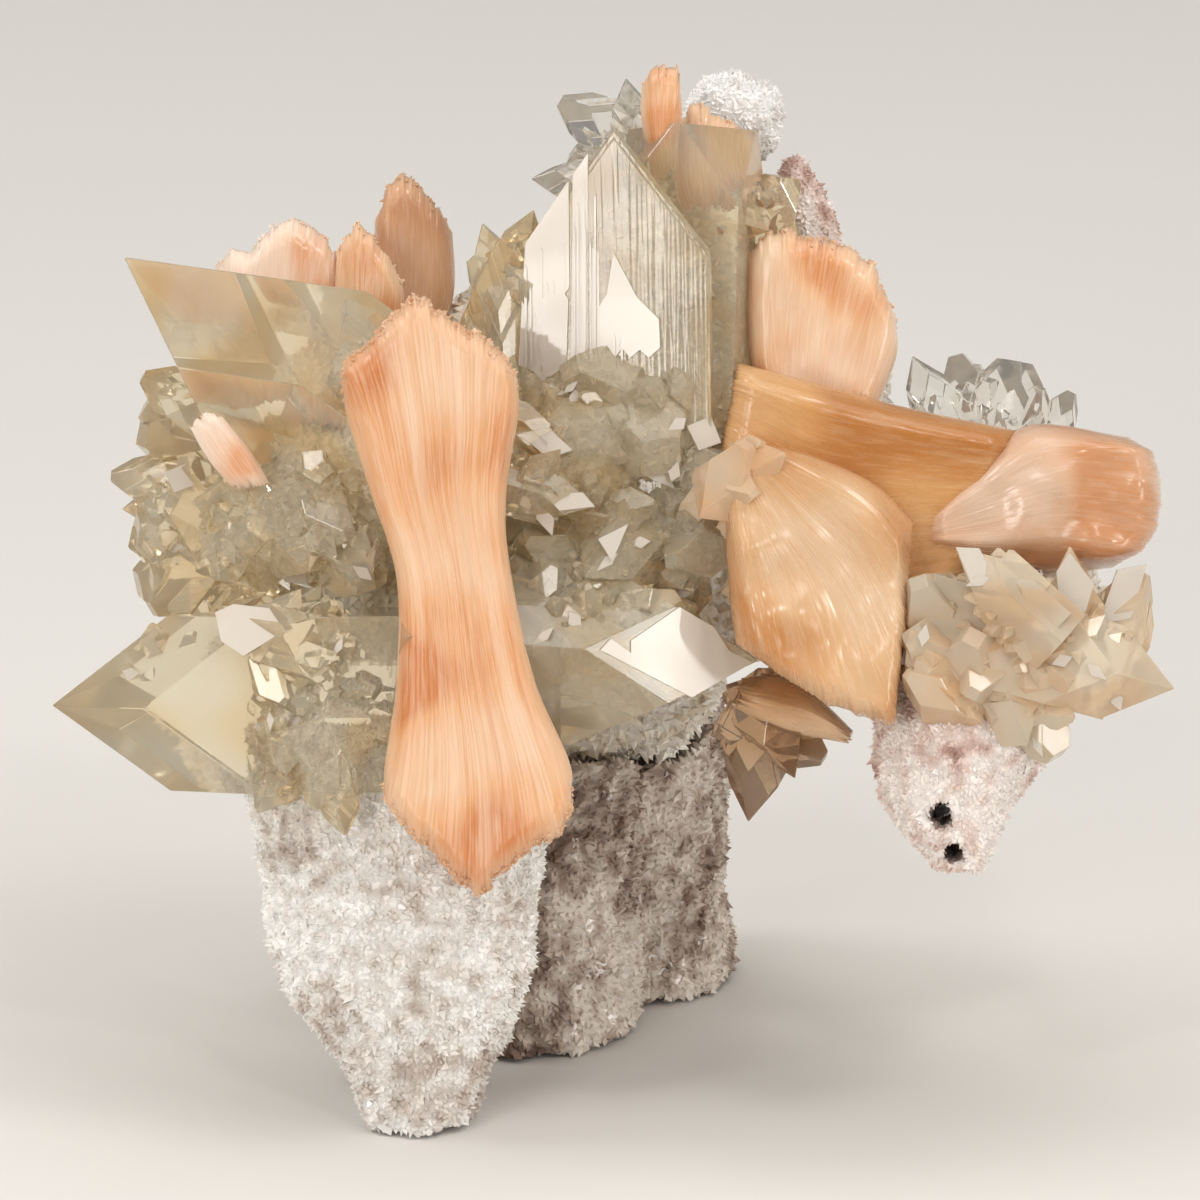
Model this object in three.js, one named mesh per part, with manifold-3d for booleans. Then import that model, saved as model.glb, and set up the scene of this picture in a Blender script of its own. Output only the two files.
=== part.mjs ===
// Apophyllite cluster: pale, clear apophyllite crystals and peach stilbite sheaves, grown on the
// quartz-coated chalcedony stalactites of a cavity roof. Millimetres, +Z up, origin in the middle
// of the rear stalactite's broken foot, on the surface that the specimen stands on.
import * as THREE from "three";
import { ConvexGeometry } from "three/addons/geometries/ConvexGeometry.js";
import { mergeVertices } from "three/addons/utils/BufferGeometryUtils.js";
import Module from "manifold-3d";

const wasm = await Module();
wasm.setup();

// ---------------------------------------------------------------------------------------------
// Driving dimensions and the display frame.
//
// The specimen stands with its display face leaning back. Pieces are laid out square to that face:
// x to the right, d into the specimen, h up the face. The foot of the front stalactite is at
// d = 0, h = 0, and the floor rises up the face by tan(LEAN) for each millimetre of depth.
const LEAN = THREE.MathUtils.degToRad(18);
const GAP = 0.3; // between neighbouring pieces
const FOOT_X = -3; // middle of the rear foot
const FOOT_D = 41;
const FACE_SLOPE = 1.33; // rise of an apophyllite pyramid face for each mm along the prism's side
const CORE_LUMP = 2; // height of the lumps on the rock
const ROCK_LUMP = 1; // and on the stalactites
const FLOOR_SIZE = 400;

const MATERIALS = {
  apophyllite: { color: 0xd9d6c3, roughness: 0.08, metalness: 0 },
  stilbite: { color: 0xdf9a6a, roughness: 0.45, metalness: 0 },
  quartz: { color: 0xcabdb4, roughness: 0.75, metalness: 0 },
};

// ---------------------------------------------------------------------------------------------
// Solids: three.js geometry in, manifold solid out, and back again for the scene graph.
function toSolid(geometry, matrix = new THREE.Matrix4()) {
  const source = geometry.index ? geometry.toNonIndexed() : geometry;
  const bare = new THREE.BufferGeometry()
    .setAttribute("position", source.getAttribute("position").clone())
    .applyMatrix4(matrix);
  const merged = mergeVertices(bare, 1e-3);
  const vertProperties = merged.attributes.position.array;
  const triVerts = new Uint32Array(merged.index.array);
  return new wasm.Manifold(new wasm.Mesh({ numProp: 3, vertProperties, triVerts }));
}

function toMesh(name, solid, material) {
  const { vertProperties, triVerts } = solid.getMesh();
  const geometry = new THREE.BufferGeometry()
    .setAttribute("position", new THREE.BufferAttribute(new Float32Array(vertProperties), 3))
    .setIndex(new THREE.BufferAttribute(new Uint32Array(triVerts), 1));
  geometry.computeVertexNormals();
  const mesh = new THREE.Mesh(geometry, new THREE.MeshStandardMaterial(MATERIALS[material]));
  mesh.name = name;
  return mesh;
}

const join = (solids) => solids.reduce((all, one) => all.add(one));
const cut = (solid, tools) => tools.reduce((left, tool) => left.subtract(tool), solid);

// The biggest piece of a solid: a cut can leave crumbs behind.
const largest = (solid) =>
  solid.decompose().reduce((best, one) => (one.volume() > best.volume() ? one : best));

// A repeatable number from 0 to 1 for each seed.
function chance(seed) {
  const wave = Math.sin(seed * 127.1 + 311.7) * 43758.5453;
  return wave - Math.floor(wave);
}

// Smooth lumps over space, from about -1 to 1.
function lumps(p, pitch, seed) {
  const k = (2 * Math.PI) / pitch;
  const coarse = Math.sin(k * p.x + seed) * Math.cos(k * 0.8 * p.z - seed) + Math.sin(k * 1.1 * p.y);
  const fine = Math.sin(k * 2.3 * p.x - seed) * Math.sin(k * 2.1 * p.z + seed);
  return 0.4 * coarse + 0.35 * fine;
}

// Pushes each vertex of a geometry outward from its axis or centre by the lumps.
function roughen(geometry, pitch, height, seed, outward) {
  const position = geometry.attributes.position;
  const p = new THREE.Vector3();
  for (let i = 0; i < position.count; i++) {
    p.fromBufferAttribute(position, i);
    const push = outward(p).multiplyScalar(height * lumps(p, pitch, seed));
    position.setXYZ(i, p.x + push.x, p.y + push.y, p.z + push.z);
  }
  return geometry;
}

// ---------------------------------------------------------------------------------------------
// Apophyllite. Each crystal is a square prism closed by a four-sided pyramid whose faces stand
// over the prism's edges, so each side face ends in a gable. `tip` is where the pyramid comes to
// a point, `blunt` cuts that point off square, `bearing` is the direction of the tip in the
// display face (0 right, 90 up), `toward` tips it out of the face, and `spin` turns the crystal
// about its own length, with 0 showing one side face to the front.
function crystal({ tip, bearing, toward = 0, spin = 0, half, across = half, length, blunt = 0 }, grow = 0) {
  const peak = grow * Math.hypot(FACE_SLOPE, FACE_SLOPE, 1);
  const a = half + grow;
  const b = across + grow;
  const top = blunt ? Math.min(peak, grow - blunt) : peak;
  const root = -length - grow;
  const levels = [top, peak - FACE_SLOPE * a, peak - FACE_SLOPE * b, peak - FACE_SLOPE * (a + b), root];
  const points = levels
    .filter((z) => z <= top && z >= root)
    .flatMap((z) => section(a, b, (peak - z) / FACE_SLOPE, z));
  return toSolid(new ConvexGeometry(points), placed(tip, bearing, toward, spin));
}

// The corners of a crystal at height z: the prism's rectangle where the pyramid's square trims it.
function section(a, b, reach, z) {
  const corners = [
    [Math.min(a, reach), Math.max(0, Math.min(b, reach - a))],
    [Math.max(0, Math.min(a, reach - b)), Math.min(b, reach)],
  ];
  return corners.flatMap(([x, y]) => [
    new THREE.Vector3(x, y, z),
    new THREE.Vector3(x, -y, z),
    new THREE.Vector3(-x, y, z),
    new THREE.Vector3(-x, -y, z),
  ]);
}

// Local Z along the given direction, local X as near the front as that allows, then spun.
function placed(tip, bearing, toward, spin) {
  const [bearingAngle, towardAngle, spinAngle] = [bearing, toward, spin].map(THREE.MathUtils.degToRad);
  const axis = new THREE.Vector3(
    Math.cos(towardAngle) * Math.cos(bearingAngle),
    -Math.sin(towardAngle),
    Math.cos(towardAngle) * Math.sin(bearingAngle),
  );
  const front = new THREE.Vector3(0, -1, 0);
  if (Math.abs(front.dot(axis)) > 0.98) front.set(0, 0, 1);
  front.addScaledVector(axis, -front.dot(axis)).normalize();
  const side = new THREE.Vector3().crossVectors(axis, front);
  const x = front.clone().multiplyScalar(Math.cos(spinAngle)).addScaledVector(side, Math.sin(spinAngle));
  const y = new THREE.Vector3().crossVectors(axis, x);
  return new THREE.Matrix4().makeBasis(x, y, axis).setPosition(...tip);
}

// The bearing and forward tilt, in degrees, of a direction in the display face.
function aim(direction) {
  return {
    bearing: THREE.MathUtils.radToDeg(Math.atan2(direction.z, direction.x)),
    toward: THREE.MathUtils.radToDeg(Math.asin(-direction.y / direction.length())),
  };
}

// A crust: crystals in rows and columns over part of a lump of rock, each standing off its
// surface. Azimuth 0 is the lump's front and 90 its right side; rise 90 is its top.
function crust({ on, azimuth, rise, rows, columns, half, stand, seed }) {
  return Array.from({ length: rows * columns }, (_, i) => {
    const roll = (k) => chance(seed + i * 7.3 + k * 1.9);
    const step = ([low, high], k, n, jitter) => low + ((high - low) * (k + 0.2 + 0.6 * jitter)) / n;
    const turn = THREE.MathUtils.degToRad(step(azimuth, i % columns, columns, roll(1)));
    const lift = THREE.MathUtils.degToRad(step(rise, Math.floor(i / columns), rows, roll(2)));
    const ball = new THREE.Vector3(
      Math.sin(turn) * Math.cos(lift),
      -Math.cos(turn) * Math.cos(lift),
      Math.sin(lift),
    );
    const radii = new THREE.Vector3(...on.size);
    const lean = new THREE.Vector3(roll(3), roll(4), roll(5)).subScalar(0.5).multiplyScalar(0.9);
    const out = ball.clone().divide(radii).normalize().add(lean).normalize();
    const size = half[0] + (half[1] - half[0]) * roll(6) ** 2;
    const tip = ball.multiply(radii).add(new THREE.Vector3(...on.at)).addScaledVector(out, stand * size);
    return {
      tip: tip.toArray(),
      ...aim(out),
      spin: 90 * roll(7),
      half: size,
      across: size * (0.85 + 0.3 * roll(8)),
      length: (stand + 1.6) * size,
      blunt: roll(9) > 0.6 ? size : 0,
    };
  });
}

// The lumps of rock in the middle, which the crystals stand on.
const CORE = {
  left: { at: [-16, 16, 63], size: [25, 12, 16], seed: 1 },
  right: { at: [10, 17, 63], size: [23, 11, 17], seed: 2 },
  top: { at: [5, 21, 85], size: [11, 9, 17], seed: 3 },
  far: { at: [36, 12, 57], size: [15, 9, 12], seed: 4 },
  bottom: { at: [-4, 29, 49], size: [18, 15, 14], seed: 5 },
  shoulderLeft: { at: [-8, 23, 77], size: [11, 9, 10], seed: 11, detail: 1 },
  shoulderRight: { at: [19, 23, 74], size: [11, 8, 10], seed: 12, detail: 1 },
  back: { at: [-20, 26, 56], size: [11, 8, 9], seed: 13, detail: 1 },
};

const MAIN = [
  // the tall crystal, its striated face to the front, and what stands beside it
  { tip: [1.9, 2, 103.5], bearing: 91, spin: -10, half: 2.2, across: 9.3, length: 40, blunt: 2.9 },
  { tip: [1.6, 9, 100.4], bearing: 91, toward: -2, spin: -10, half: 8, across: 8.6, length: 40 },
  { tip: [9.6, 12, 110], bearing: 88, toward: -4, spin: -14, half: 6.6, length: 42, blunt: 9.2 },
  { tip: [-9.4, 6, 91.4], bearing: 96, toward: 4, spin: 30, half: 4.4, length: 26, blunt: 1.5 },
  { tip: [-6.6, 8, 92.8], bearing: 72, spin: 15, half: 2.2, length: 18 },
  { tip: [-11.8, 12, 91.6], bearing: 108, spin: 35, half: 2, length: 16 },
  { tip: [18.6, 12, 98.6], bearing: 80, toward: 6, half: 2.1, length: 16, blunt: 2.4 },
  // the wide crystal at the foot, one broad pyramid face to the front
  { tip: [15.7, -3, 47.8], bearing: -4, toward: -4, spin: 45, half: 6.8, length: 36 },
  { tip: [4, -2, 42], bearing: -38, toward: 10, spin: 30, half: 4.6, length: 20, blunt: 1.4 },
  // crystals over the middle
  { tip: [-2.7, -5.8, 68.6], bearing: -15, toward: -4, spin: 45, half: 2.3, length: 11 },
  { tip: [-0.5, -6.8, 63], bearing: -14, toward: -6, spin: 45, half: 2.2, length: 11 },
  { tip: [-4.4, -4, 77.5], bearing: 150, toward: 42, spin: 10, half: 4.6, length: 20, blunt: 2.2 },
  { tip: [3.4, -5, 74.4], bearing: 60, toward: 62, spin: 35, half: 4.4, length: 18, blunt: 3.4 },
  { tip: [10.4, -4.4, 73], bearing: 40, toward: 50, spin: 15, half: 4.6, length: 18, blunt: 4.2 },
  { tip: [14, -5, 67], bearing: 10, toward: 55, spin: 30, half: 3.4, length: 16, blunt: 1.2 },
  { tip: [7, -7, 66.4], bearing: -60, toward: 60, spin: 20, half: 4.4, length: 18, blunt: 3.6 },
  { tip: [-6, -8.6, 65.6], bearing: 180, toward: 62, spin: 20, half: 4.4, length: 15, blunt: 1.4 },
  { tip: [12.6, -6, 59.6], bearing: 20, toward: 60, spin: 10, half: 3.8, length: 16, blunt: 2.6 },
  { tip: [6.4, -8.4, 57.4], bearing: 200, toward: 60, spin: 30, half: 3.4, length: 14, blunt: 1.4 },
  { tip: [-1.6, -9.6, 56], bearing: 215, toward: 50, spin: 25, half: 3.2, length: 14 },
  { tip: [-5.6, -7.6, 70.8], bearing: 170, toward: 55, spin: 25, half: 3.6, length: 16, blunt: 1.2 },
  { tip: [3.4, -10.6, 55], bearing: 120, toward: 55, spin: 10, half: 3.4, length: 12, blunt: 2 },
  { tip: [11.6, -6.4, 50.4], bearing: 20, toward: 40, spin: 20, half: 2.8, length: 12, blunt: 1 },
];

const LEFT = [
  // the large clear crystal at the upper left, and what grows out of its back
  { tip: [-47.2, 0, 87.8], bearing: 144, toward: 2, spin: 45, half: 8.1, length: 38 },
  { tip: [-25.4, 3, 85.6], bearing: 100, toward: 20, spin: 35, half: 6, length: 24, blunt: 3.4 },
  // the crust below it
  { tip: [-46.2, -1, 76.4], bearing: 152, toward: 10, spin: 10, half: 2.5, length: 14, blunt: 1 },
  { tip: [-47.6, 0, 70.8], bearing: 170, toward: 25, spin: 40, half: 3, length: 14, blunt: 2.5 },
  { tip: [-49.4, 2, 66.2], bearing: 175, toward: 5, spin: 25, half: 2.2, length: 14, blunt: 0.8 },
  { tip: [-48.6, 1, 61], bearing: 176, toward: 15, spin: 5, half: 3.6, length: 18, blunt: 2.6 },
  { tip: [-48.4, 3, 54.6], bearing: 195, toward: 12, spin: 30, half: 4.2, length: 18, blunt: 2.6 },
  { tip: [-42.6, -6, 57], bearing: 205, toward: 48, spin: 20, half: 5.4, length: 20, blunt: 4.6 },
  { tip: [-41.4, -5.4, 68.6], bearing: 110, toward: 40, spin: 20, half: 3.8, length: 18, blunt: 1.6 },
  { tip: [-34.6, -8, 67], bearing: 60, toward: 60, spin: 45, half: 4.4, length: 18, blunt: 3 },
  { tip: [-29, -8.6, 63], bearing: 30, toward: 55, spin: 20, half: 4.4, length: 18, blunt: 3.4 },
  { tip: [-27, -7.4, 71], bearing: 80, toward: 50, spin: 15, half: 3.8, length: 18, blunt: 1.4 },
  { tip: [-35, -9, 58.4], bearing: 250, toward: 60, spin: 25, half: 4, length: 18, blunt: 2.2 },
  { tip: [-29, -9.4, 56.4], bearing: 290, toward: 60, spin: 35, half: 3.4, length: 16, blunt: 0.8 },
  { tip: [-24, -9, 60], bearing: 330, toward: 50, spin: 10, half: 3.4, length: 16, blunt: 1.2 },
  { tip: [-22.6, -8, 54.4], bearing: 300, toward: 55, spin: 30, half: 3.6, length: 16, blunt: 2 },
  { tip: [-45.6, -1, 52], bearing: 215, toward: 15, spin: 30, half: 3, length: 14, blunt: 1.5 },
  // the long crystal that points left, and the blocks that sit on it
  { tip: [-54.2, -4, 43.4], bearing: 181, toward: 4, spin: -4, half: 6.6, across: 8.7, length: 50 },
  { tip: [-36.6, -11.6, 52.6], bearing: 150, toward: 30, spin: 24, half: 3.2, length: 13, blunt: 1.6 },
  { tip: [-31.4, -13, 36.8], bearing: 215, toward: 40, spin: 28, half: 4.2, length: 13, blunt: 2.8 },
];

const RIGHT = [
  { tip: [56.9, -3, 45], bearing: -15, half: 4.6, across: 4.8, length: 26 },
  { tip: [54.4, -1, 57.6], bearing: 62, toward: 5, spin: 25, half: 2.5, length: 16, blunt: 1.2 },
  { tip: [46.4, -5, 59.2], bearing: 92, toward: 10, spin: 40, half: 2.4, length: 14 },
  { tip: [35, -8.4, 59], bearing: 138, spin: 45, half: 2.6, length: 14 },
  { tip: [32.6, -9, 52.6], bearing: 110, toward: 50, spin: 20, half: 4.4, length: 18, blunt: 4 },
  { tip: [40.6, -8.6, 55], bearing: 70, toward: 48, spin: 35, half: 3.8, length: 16, blunt: 2 },
  { tip: [40.5, -10, 47], bearing: -40, toward: 60, spin: 10, half: 4.4, length: 16, blunt: 2.4 },
  { tip: [33.4, -9, 44.4], bearing: 230, toward: 50, spin: 30, half: 4, length: 15, blunt: 2.4 },
  { tip: [47.6, -8, 50.6], bearing: 15, toward: 50, spin: 30, half: 3.6, length: 16, blunt: 1.6 },
  { tip: [46.4, -4, 36.8], bearing: -55, toward: 10, spin: 15, half: 2.6, length: 14, blunt: 2 },
  { tip: [40, -7, 40], bearing: -80, toward: 35, spin: 40, half: 3, length: 14, blunt: 2 },
  { tip: [50, 3, 52], bearing: 5, toward: -10, spin: 15, half: 4, length: 18, blunt: 3 },
];

const TOP = [
  { tip: [-4.9, 19, 104.6], bearing: 150, toward: 5, spin: 20, half: 2.6, length: 14, blunt: 1 },
  { tip: [-7, 17, 96.2], bearing: 175, toward: 10, spin: 35, half: 1.7, length: 13 },
  { tip: [-4.2, 18.6, 99.6], bearing: 150, toward: 10, spin: 10, half: 2.9, length: 13, blunt: 1.6 },
  { tip: [2.6, 18, 106.4], bearing: 100, spin: 30, half: 2.2, length: 16 },
  { tip: [-0.5, 18, 104.4], bearing: 125, toward: 20, spin: 40, half: 2.6, length: 16, blunt: 1.2 },
  { tip: [4.6, 19, 104], bearing: 80, toward: 10, spin: 10, half: 2.2, length: 14, blunt: 1 },
];

const RIGHT_BACK = [
  { tip: [35.4, 17, 79.8], bearing: 105, toward: 5, spin: 40, half: 3, length: 14, blunt: 1.4 },
  { tip: [42.2, 17, 80.4], bearing: 80, spin: 15, half: 3.4, length: 16, blunt: 2.6 },
  { tip: [47.8, 16, 75.4], bearing: 62, toward: 5, spin: 30, half: 1.7, length: 11, blunt: 0.8 },
  { tip: [31.4, 17, 78.4], bearing: 115, toward: -10, spin: 20, half: 2.2, length: 12 },
  { tip: [39, 14, 77], bearing: 90, toward: 25, spin: 5, half: 2.4, length: 11, blunt: 1.2 },
  { tip: [44.4, 14, 76], bearing: 70, toward: 25, spin: 30, half: 2, length: 11, blunt: 1 },
];

const UNDER = [
  { tip: [14.8, 8, 31.6], bearing: 262, toward: 5, spin: 30, half: 2.8, length: 13 },
  { tip: [23.4, 7, 37.4], bearing: 330, toward: 10, spin: 20, half: 2.8, length: 12, blunt: 1.2 },
  { tip: [19.4, 4, 36], bearing: 290, toward: 20, spin: 40, half: 2.8, length: 11 },
];

// Two patches of crystals on the back of the rock.
const BACK = { rows: 2, columns: 3, half: [3.2, 4.6], stand: 1.6 };
const BACK_LEFT = crust({ ...BACK, on: CORE.left, azimuth: [172, 204], rise: [4, 44], seed: 23 });
const BACK_RIGHT = crust({ ...BACK, on: CORE.right, azimuth: [150, 178], rise: [0, 36], seed: 22 });

// ---------------------------------------------------------------------------------------------
// Stilbite. Each sheaf or blade is a flat bundle of laths, given by its outline in the display
// face, and turned about its own middle. `turn` swings its right edge to the back.
function blade({ outline, d, thick, turn = 0, tip = 0, edge = 1 }, grow = 0) {
  const mean = (k) => outline.reduce((sum, p) => sum + p[k], 0) / outline.length;
  const middle = [mean(0), mean(1)];
  const shape = new THREE.Shape(outline.map(([x, h]) => new THREE.Vector2(x - middle[0], h - middle[1])));
  const geometry = new THREE.ExtrudeGeometry(shape, {
    depth: thick - 2 * edge + 2 * grow,
    bevelThickness: edge,
    bevelSize: edge,
    bevelOffset: grow - edge,
    bevelSegments: 1,
    curveSegments: 6,
  });
  geometry.translate(0, 0, edge - grow - thick / 2);
  const upright = new THREE.Matrix4().makeRotationX(Math.PI / 2);
  const swing = new THREE.Matrix4().makeRotationZ(THREE.MathUtils.degToRad(turn));
  const nod = new THREE.Matrix4().makeRotationX(THREE.MathUtils.degToRad(tip));
  const place = new THREE.Matrix4().makeTranslation(middle[0], d, middle[1]);
  return toSolid(geometry, place.multiply(swing).multiply(nod).multiply(upright));
}

const STILBITE = {
  // the upright bow-tie in front, narrow at its waist and fanned at both ends
  stilbite_bowtie: {
    outline: [
      [-17.6, 84.1], [-21.4, 80], [-24.8, 76.3], [-25.4, 72], [-24, 67], [-21.4, 60.5], [-19.9, 54.5],
      [-19.7, 48], [-20.2, 41.5], [-21.3, 37.4], [-21.2, 33.8], [-18.6, 30.4], [-15, 27.2], [-11.4, 24.4],
      [-9, 27.4], [-4.6, 29.8], [-2.8, 34.2], [-3, 39.5], [-5, 43.4], [-7.6, 47.6], [-8, 53], [-9, 58.5],
      [-9.2, 63], [-7.8, 71], [-8.2, 75.8], [-11.6, 79.8], [-15, 82.4],
    ],
    d: -12.5, thick: 8, turn: -6, edge: 1.6,
  },
  // the large bow-tie that lies along the right side
  stilbite_sheaf: {
    outline: [
      [13.5, 77.6], [22, 75.4], [31, 73], [38, 71], [44, 72.2], [52, 70.2], [55.8, 68.2], [56.2, 62.4],
      [54.8, 58.2], [50.4, 56], [44, 55], [36, 54.4], [28, 52], [18, 50], [12, 54], [10.5, 64],
    ],
    d: 3, thick: 12, turn: 4, tip: 6, edge: 2,
  },
  // the thick blade in front of it that points down to the right
  stilbite_wedge: {
    outline: [
      [13, 68.5], [20.5, 68.8], [27, 66], [31.4, 61], [29, 53], [29.4, 40], [26, 40.6], [19.5, 44.6],
      [13.4, 49.2], [11.6, 58],
    ],
    d: -6, thick: 9, turn: -6, tip: -4, edge: 1.8,
  },
  stilbite_upper_right: {
    outline: [
      [14.5, 89], [16, 90.6], [20, 91.6], [25, 89.8], [27.4, 88], [29, 84.2], [29.7, 81], [29.8, 74.6],
      [27, 71], [16, 72], [14, 80],
    ],
    d: 9, thick: 8, turn: 5, edge: 1.4,
  },
  stilbite_back_left: {
    outline: [
      [-22.8, 92.6], [-21.4, 96], [-19.9, 97.6], [-18.4, 97], [-16, 93.6], [-14.8, 91.4], [-14.5, 84.6],
      [-16, 78], [-21, 78], [-22.8, 86],
    ],
    d: 19, thick: 6, turn: 12, tip: -4, edge: 1.2,
  },
  stilbite_left_middle: {
    outline: [
      [-26.4, 90], [-24.3, 92.5], [-22.6, 91], [-19.6, 86], [-19.5, 82.5], [-21.4, 76], [-25.4, 76],
      [-26.8, 83],
    ],
    d: 12, thick: 5, turn: -10, tip: -3, edge: 1,
  },
  stilbite_left: {
    outline: [
      [-38.8, 88], [-37, 89.4], [-35, 89.4], [-32.2, 92.8], [-30.8, 93.2], [-27.2, 90.4], [-25.4, 87],
      [-26, 78], [-36, 77], [-38.6, 83],
    ],
    d: 14, thick: 6, turn: 8, tip: -8, edge: 1.2,
  },
  stilbite_top: {
    outline: [
      [3.9, 105], [5, 107.2], [6.4, 108.3], [8.1, 108.3], [8.2, 105], [8.4, 102], [8, 96], [5.4, 95],
      [4, 101],
    ],
    d: 8, thick: 4.4, turn: -12, tip: -4, edge: 0.9,
  },
  stilbite_top_right: {
    outline: [
      [7.6, 102], [9, 104.1], [10.4, 104], [13.6, 102.4], [14.6, 100.4], [16, 96.6], [15, 92], [9, 92],
      [7.4, 97],
    ],
    d: 13, thick: 5, turn: 6, tip: -6, edge: 1,
  },
  // a small striated blade on the upper left crystal, and a golden one under the wedge
  stilbite_small: {
    outline: [
      [-40.8, 71.4], [-39.8, 72.6], [-37.6, 72.6], [-34, 68.6], [-32, 64.6], [-35.6, 64.4], [-39.6, 67.6],
    ],
    d: -8, thick: 3, turn: 10, tip: 10, edge: 0.8,
  },
  stilbite_under: {
    outline: [[13, 46], [16, 47], [21, 45], [26.4, 40], [25, 39.2], [18, 40.4], [13, 43]],
    d: 5, thick: 6, turn: 10, tip: -10, edge: 0.9,
  },
};

// ---------------------------------------------------------------------------------------------
// Chalcedony: rounded lumps of rock and stalactites, all coated with fine quartz.
function boulder({ at, size, pitch = 19, lump = CORE_LUMP, seed, detail = 2 }, grow = 0) {
  const geometry = new THREE.IcosahedronGeometry(1, detail);
  geometry.scale(...size.map((radius) => radius + grow));
  roughen(geometry, pitch, lump, seed, (p) => p.clone().normalize());
  return toSolid(geometry, new THREE.Matrix4().makeTranslation(...at));
}

// A lumpy column up the display face. Each level is [h, left, right, front, back].
function column({ levels, sides = 14, rings = 8, pitch = 11, lump = ROCK_LUMP, seed }, grow = 0) {
  const curve = (low, high) => new THREE.CatmullRomCurve3(levels.map(([h, ...edges]) => {
    const middle = (edges[low] + edges[high]) / 2;
    const radius = (edges[high] - edges[low]) / 2;
    return new THREE.Vector3(middle, radius, h);
  }));
  const [acrossCurve, depthCurve] = [curve(0, 1), curve(2, 3)];
  const wall = Array.from({ length: rings }, (_, i) => new THREE.Vector2(1, i));
  const profile = [new THREE.Vector2(0, 0), ...wall, new THREE.Vector2(0, rings - 1)];
  const geometry = new THREE.LatheGeometry(profile, sides);
  const position = geometry.attributes.position;
  for (let i = 0; i < position.count; i++) {
    const t = position.getY(i) / (rings - 1);
    const [across, depth] = [acrossCurve.getPoint(t), depthCurve.getPoint(t)];
    const p = new THREE.Vector3(across.x, depth.x, across.z + grow * Math.sign(t - 0.5));
    const out = new THREE.Vector3(position.getX(i), -position.getZ(i), 0);
    const swell = grow + lump * lumps(p.clone().addScaledVector(out, across.y), pitch, seed);
    p.x += out.x * (across.y + swell);
    p.y += out.y * (depth.y + swell);
    position.setXYZ(i, p.x, p.y, p.z);
  }
  return toSolid(geometry);
}

// Everything under the surface that the specimen stands on.
function floorBlock() {
  const block = new THREE.BoxGeometry(FLOOR_SIZE, FLOOR_SIZE, FLOOR_SIZE).translate(0, 0, -FLOOR_SIZE / 2);
  return toSolid(block, new THREE.Matrix4().makeRotationX(LEAN));
}

const FRONT_STALACTITE = {
  levels: [
    [-5, -22.5, -13.5, 1, 10],
    [3, -24.6, -11.6, -0.6, 12],
    [9, -26.4, -9.6, -2.4, 14],
    [13, -30.6, -7.6, -4.4, 15],
    [20, -33.4, -5.8, -6.4, 17],
    [30, -34.8, -5.4, -7.4, 18],
    [42, -36, -5.4, -6, 20],
  ],
  seed: 6,
};

const REAR_STALACTITE = {
  near: {
    levels: [
      [-4, -22, 5, 21, 46],
      [10, -22, 5, 21, 47],
      [26, -20, 5, 19, 46],
      [42, -18, 6, 17, 44],
      [54, -14, 6, 18, 42],
    ],
    seed: 7,
  },
  far: {
    levels: [
      [0, -10, 14.6, 36, 61],
      [18, -10, 14.8, 35, 61],
      [26, -9, 13, 32, 57],
      [38, -8, 13.6, 28, 52],
      [52, -6, 12, 26, 46],
    ],
    seed: 17,
  },
};

const RIGHT_STALACTITE = {
  levels: [
    [26.8, 33.4, 38.6, -3, 3],
    [30, 30.6, 39.4, -5, 5],
    [34, 27.4, 41, -6, 8],
    [40, 27, 46, -6, 12],
    [50, 27, 48, -4, 14],
  ],
  sides: 12,
  rings: 7,
  pitch: 8,
  lump: 0.6,
  seed: 8,
};

const TOP_KNOB = { at: [13.4, 23, 102.2], size: [5.6, 5.4, 5.4], pitch: 7, lump: 0.8, seed: 9, detail: 1 };

const PINK_KNOB = {
  levels: [
    [86, 18, 24, 19, 27],
    [90, 18.4, 24.6, 18.4, 25.6],
    [94, 17.8, 23.4, 18.6, 25],
    [97, 17.4, 22, 19.4, 24],
    [98.9, 18.8, 20.8, 20.8, 22.6],
  ],
  sides: 12,
  rings: 6,
  pitch: 6,
  lump: 0.35,
  seed: 10,
};

// ---------------------------------------------------------------------------------------------
// Assembly. Stilbite and apophyllite stop short of the rock, and apophyllite of the stilbite.
const floor = floorBlock();
const stand = (solid) => largest(cut(solid, [floor]));

const rear = (grow) => join(Object.values(REAR_STALACTITE).map((one) => column(one, grow)));
const core = (grow) => join(Object.values(CORE).map((one) => boulder(one, grow)));
const corePocket = core(GAP);
const frontPocket = column(FRONT_STALACTITE, GAP);
const topKnobPocket = boulder(TOP_KNOB, GAP);
const rockPockets = [
  corePocket,
  frontPocket,
  topKnobPocket,
  rear(GAP),
  column(RIGHT_STALACTITE, GAP),
  column(PINK_KNOB, GAP),
];

const rocks = {
  matrix: core(0),
  stalactite_front: stand(cut(column(FRONT_STALACTITE), [corePocket])),
  stalactite_rear: stand(cut(rear(0), [corePocket, frontPocket])),
  stalactite_right: cut(column(RIGHT_STALACTITE), [corePocket]),
  knob_top: cut(boulder(TOP_KNOB), [corePocket]),
  knob_pink: cut(column(PINK_KNOB), [corePocket, topKnobPocket]),
};

const blades = {};
const bladePockets = [];
for (const [name, piece] of Object.entries(STILBITE)) {
  blades[name] = largest(cut(blade(piece), [...rockPockets, ...bladePockets]));
  bladePockets.push(blade(piece, GAP));
}

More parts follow.
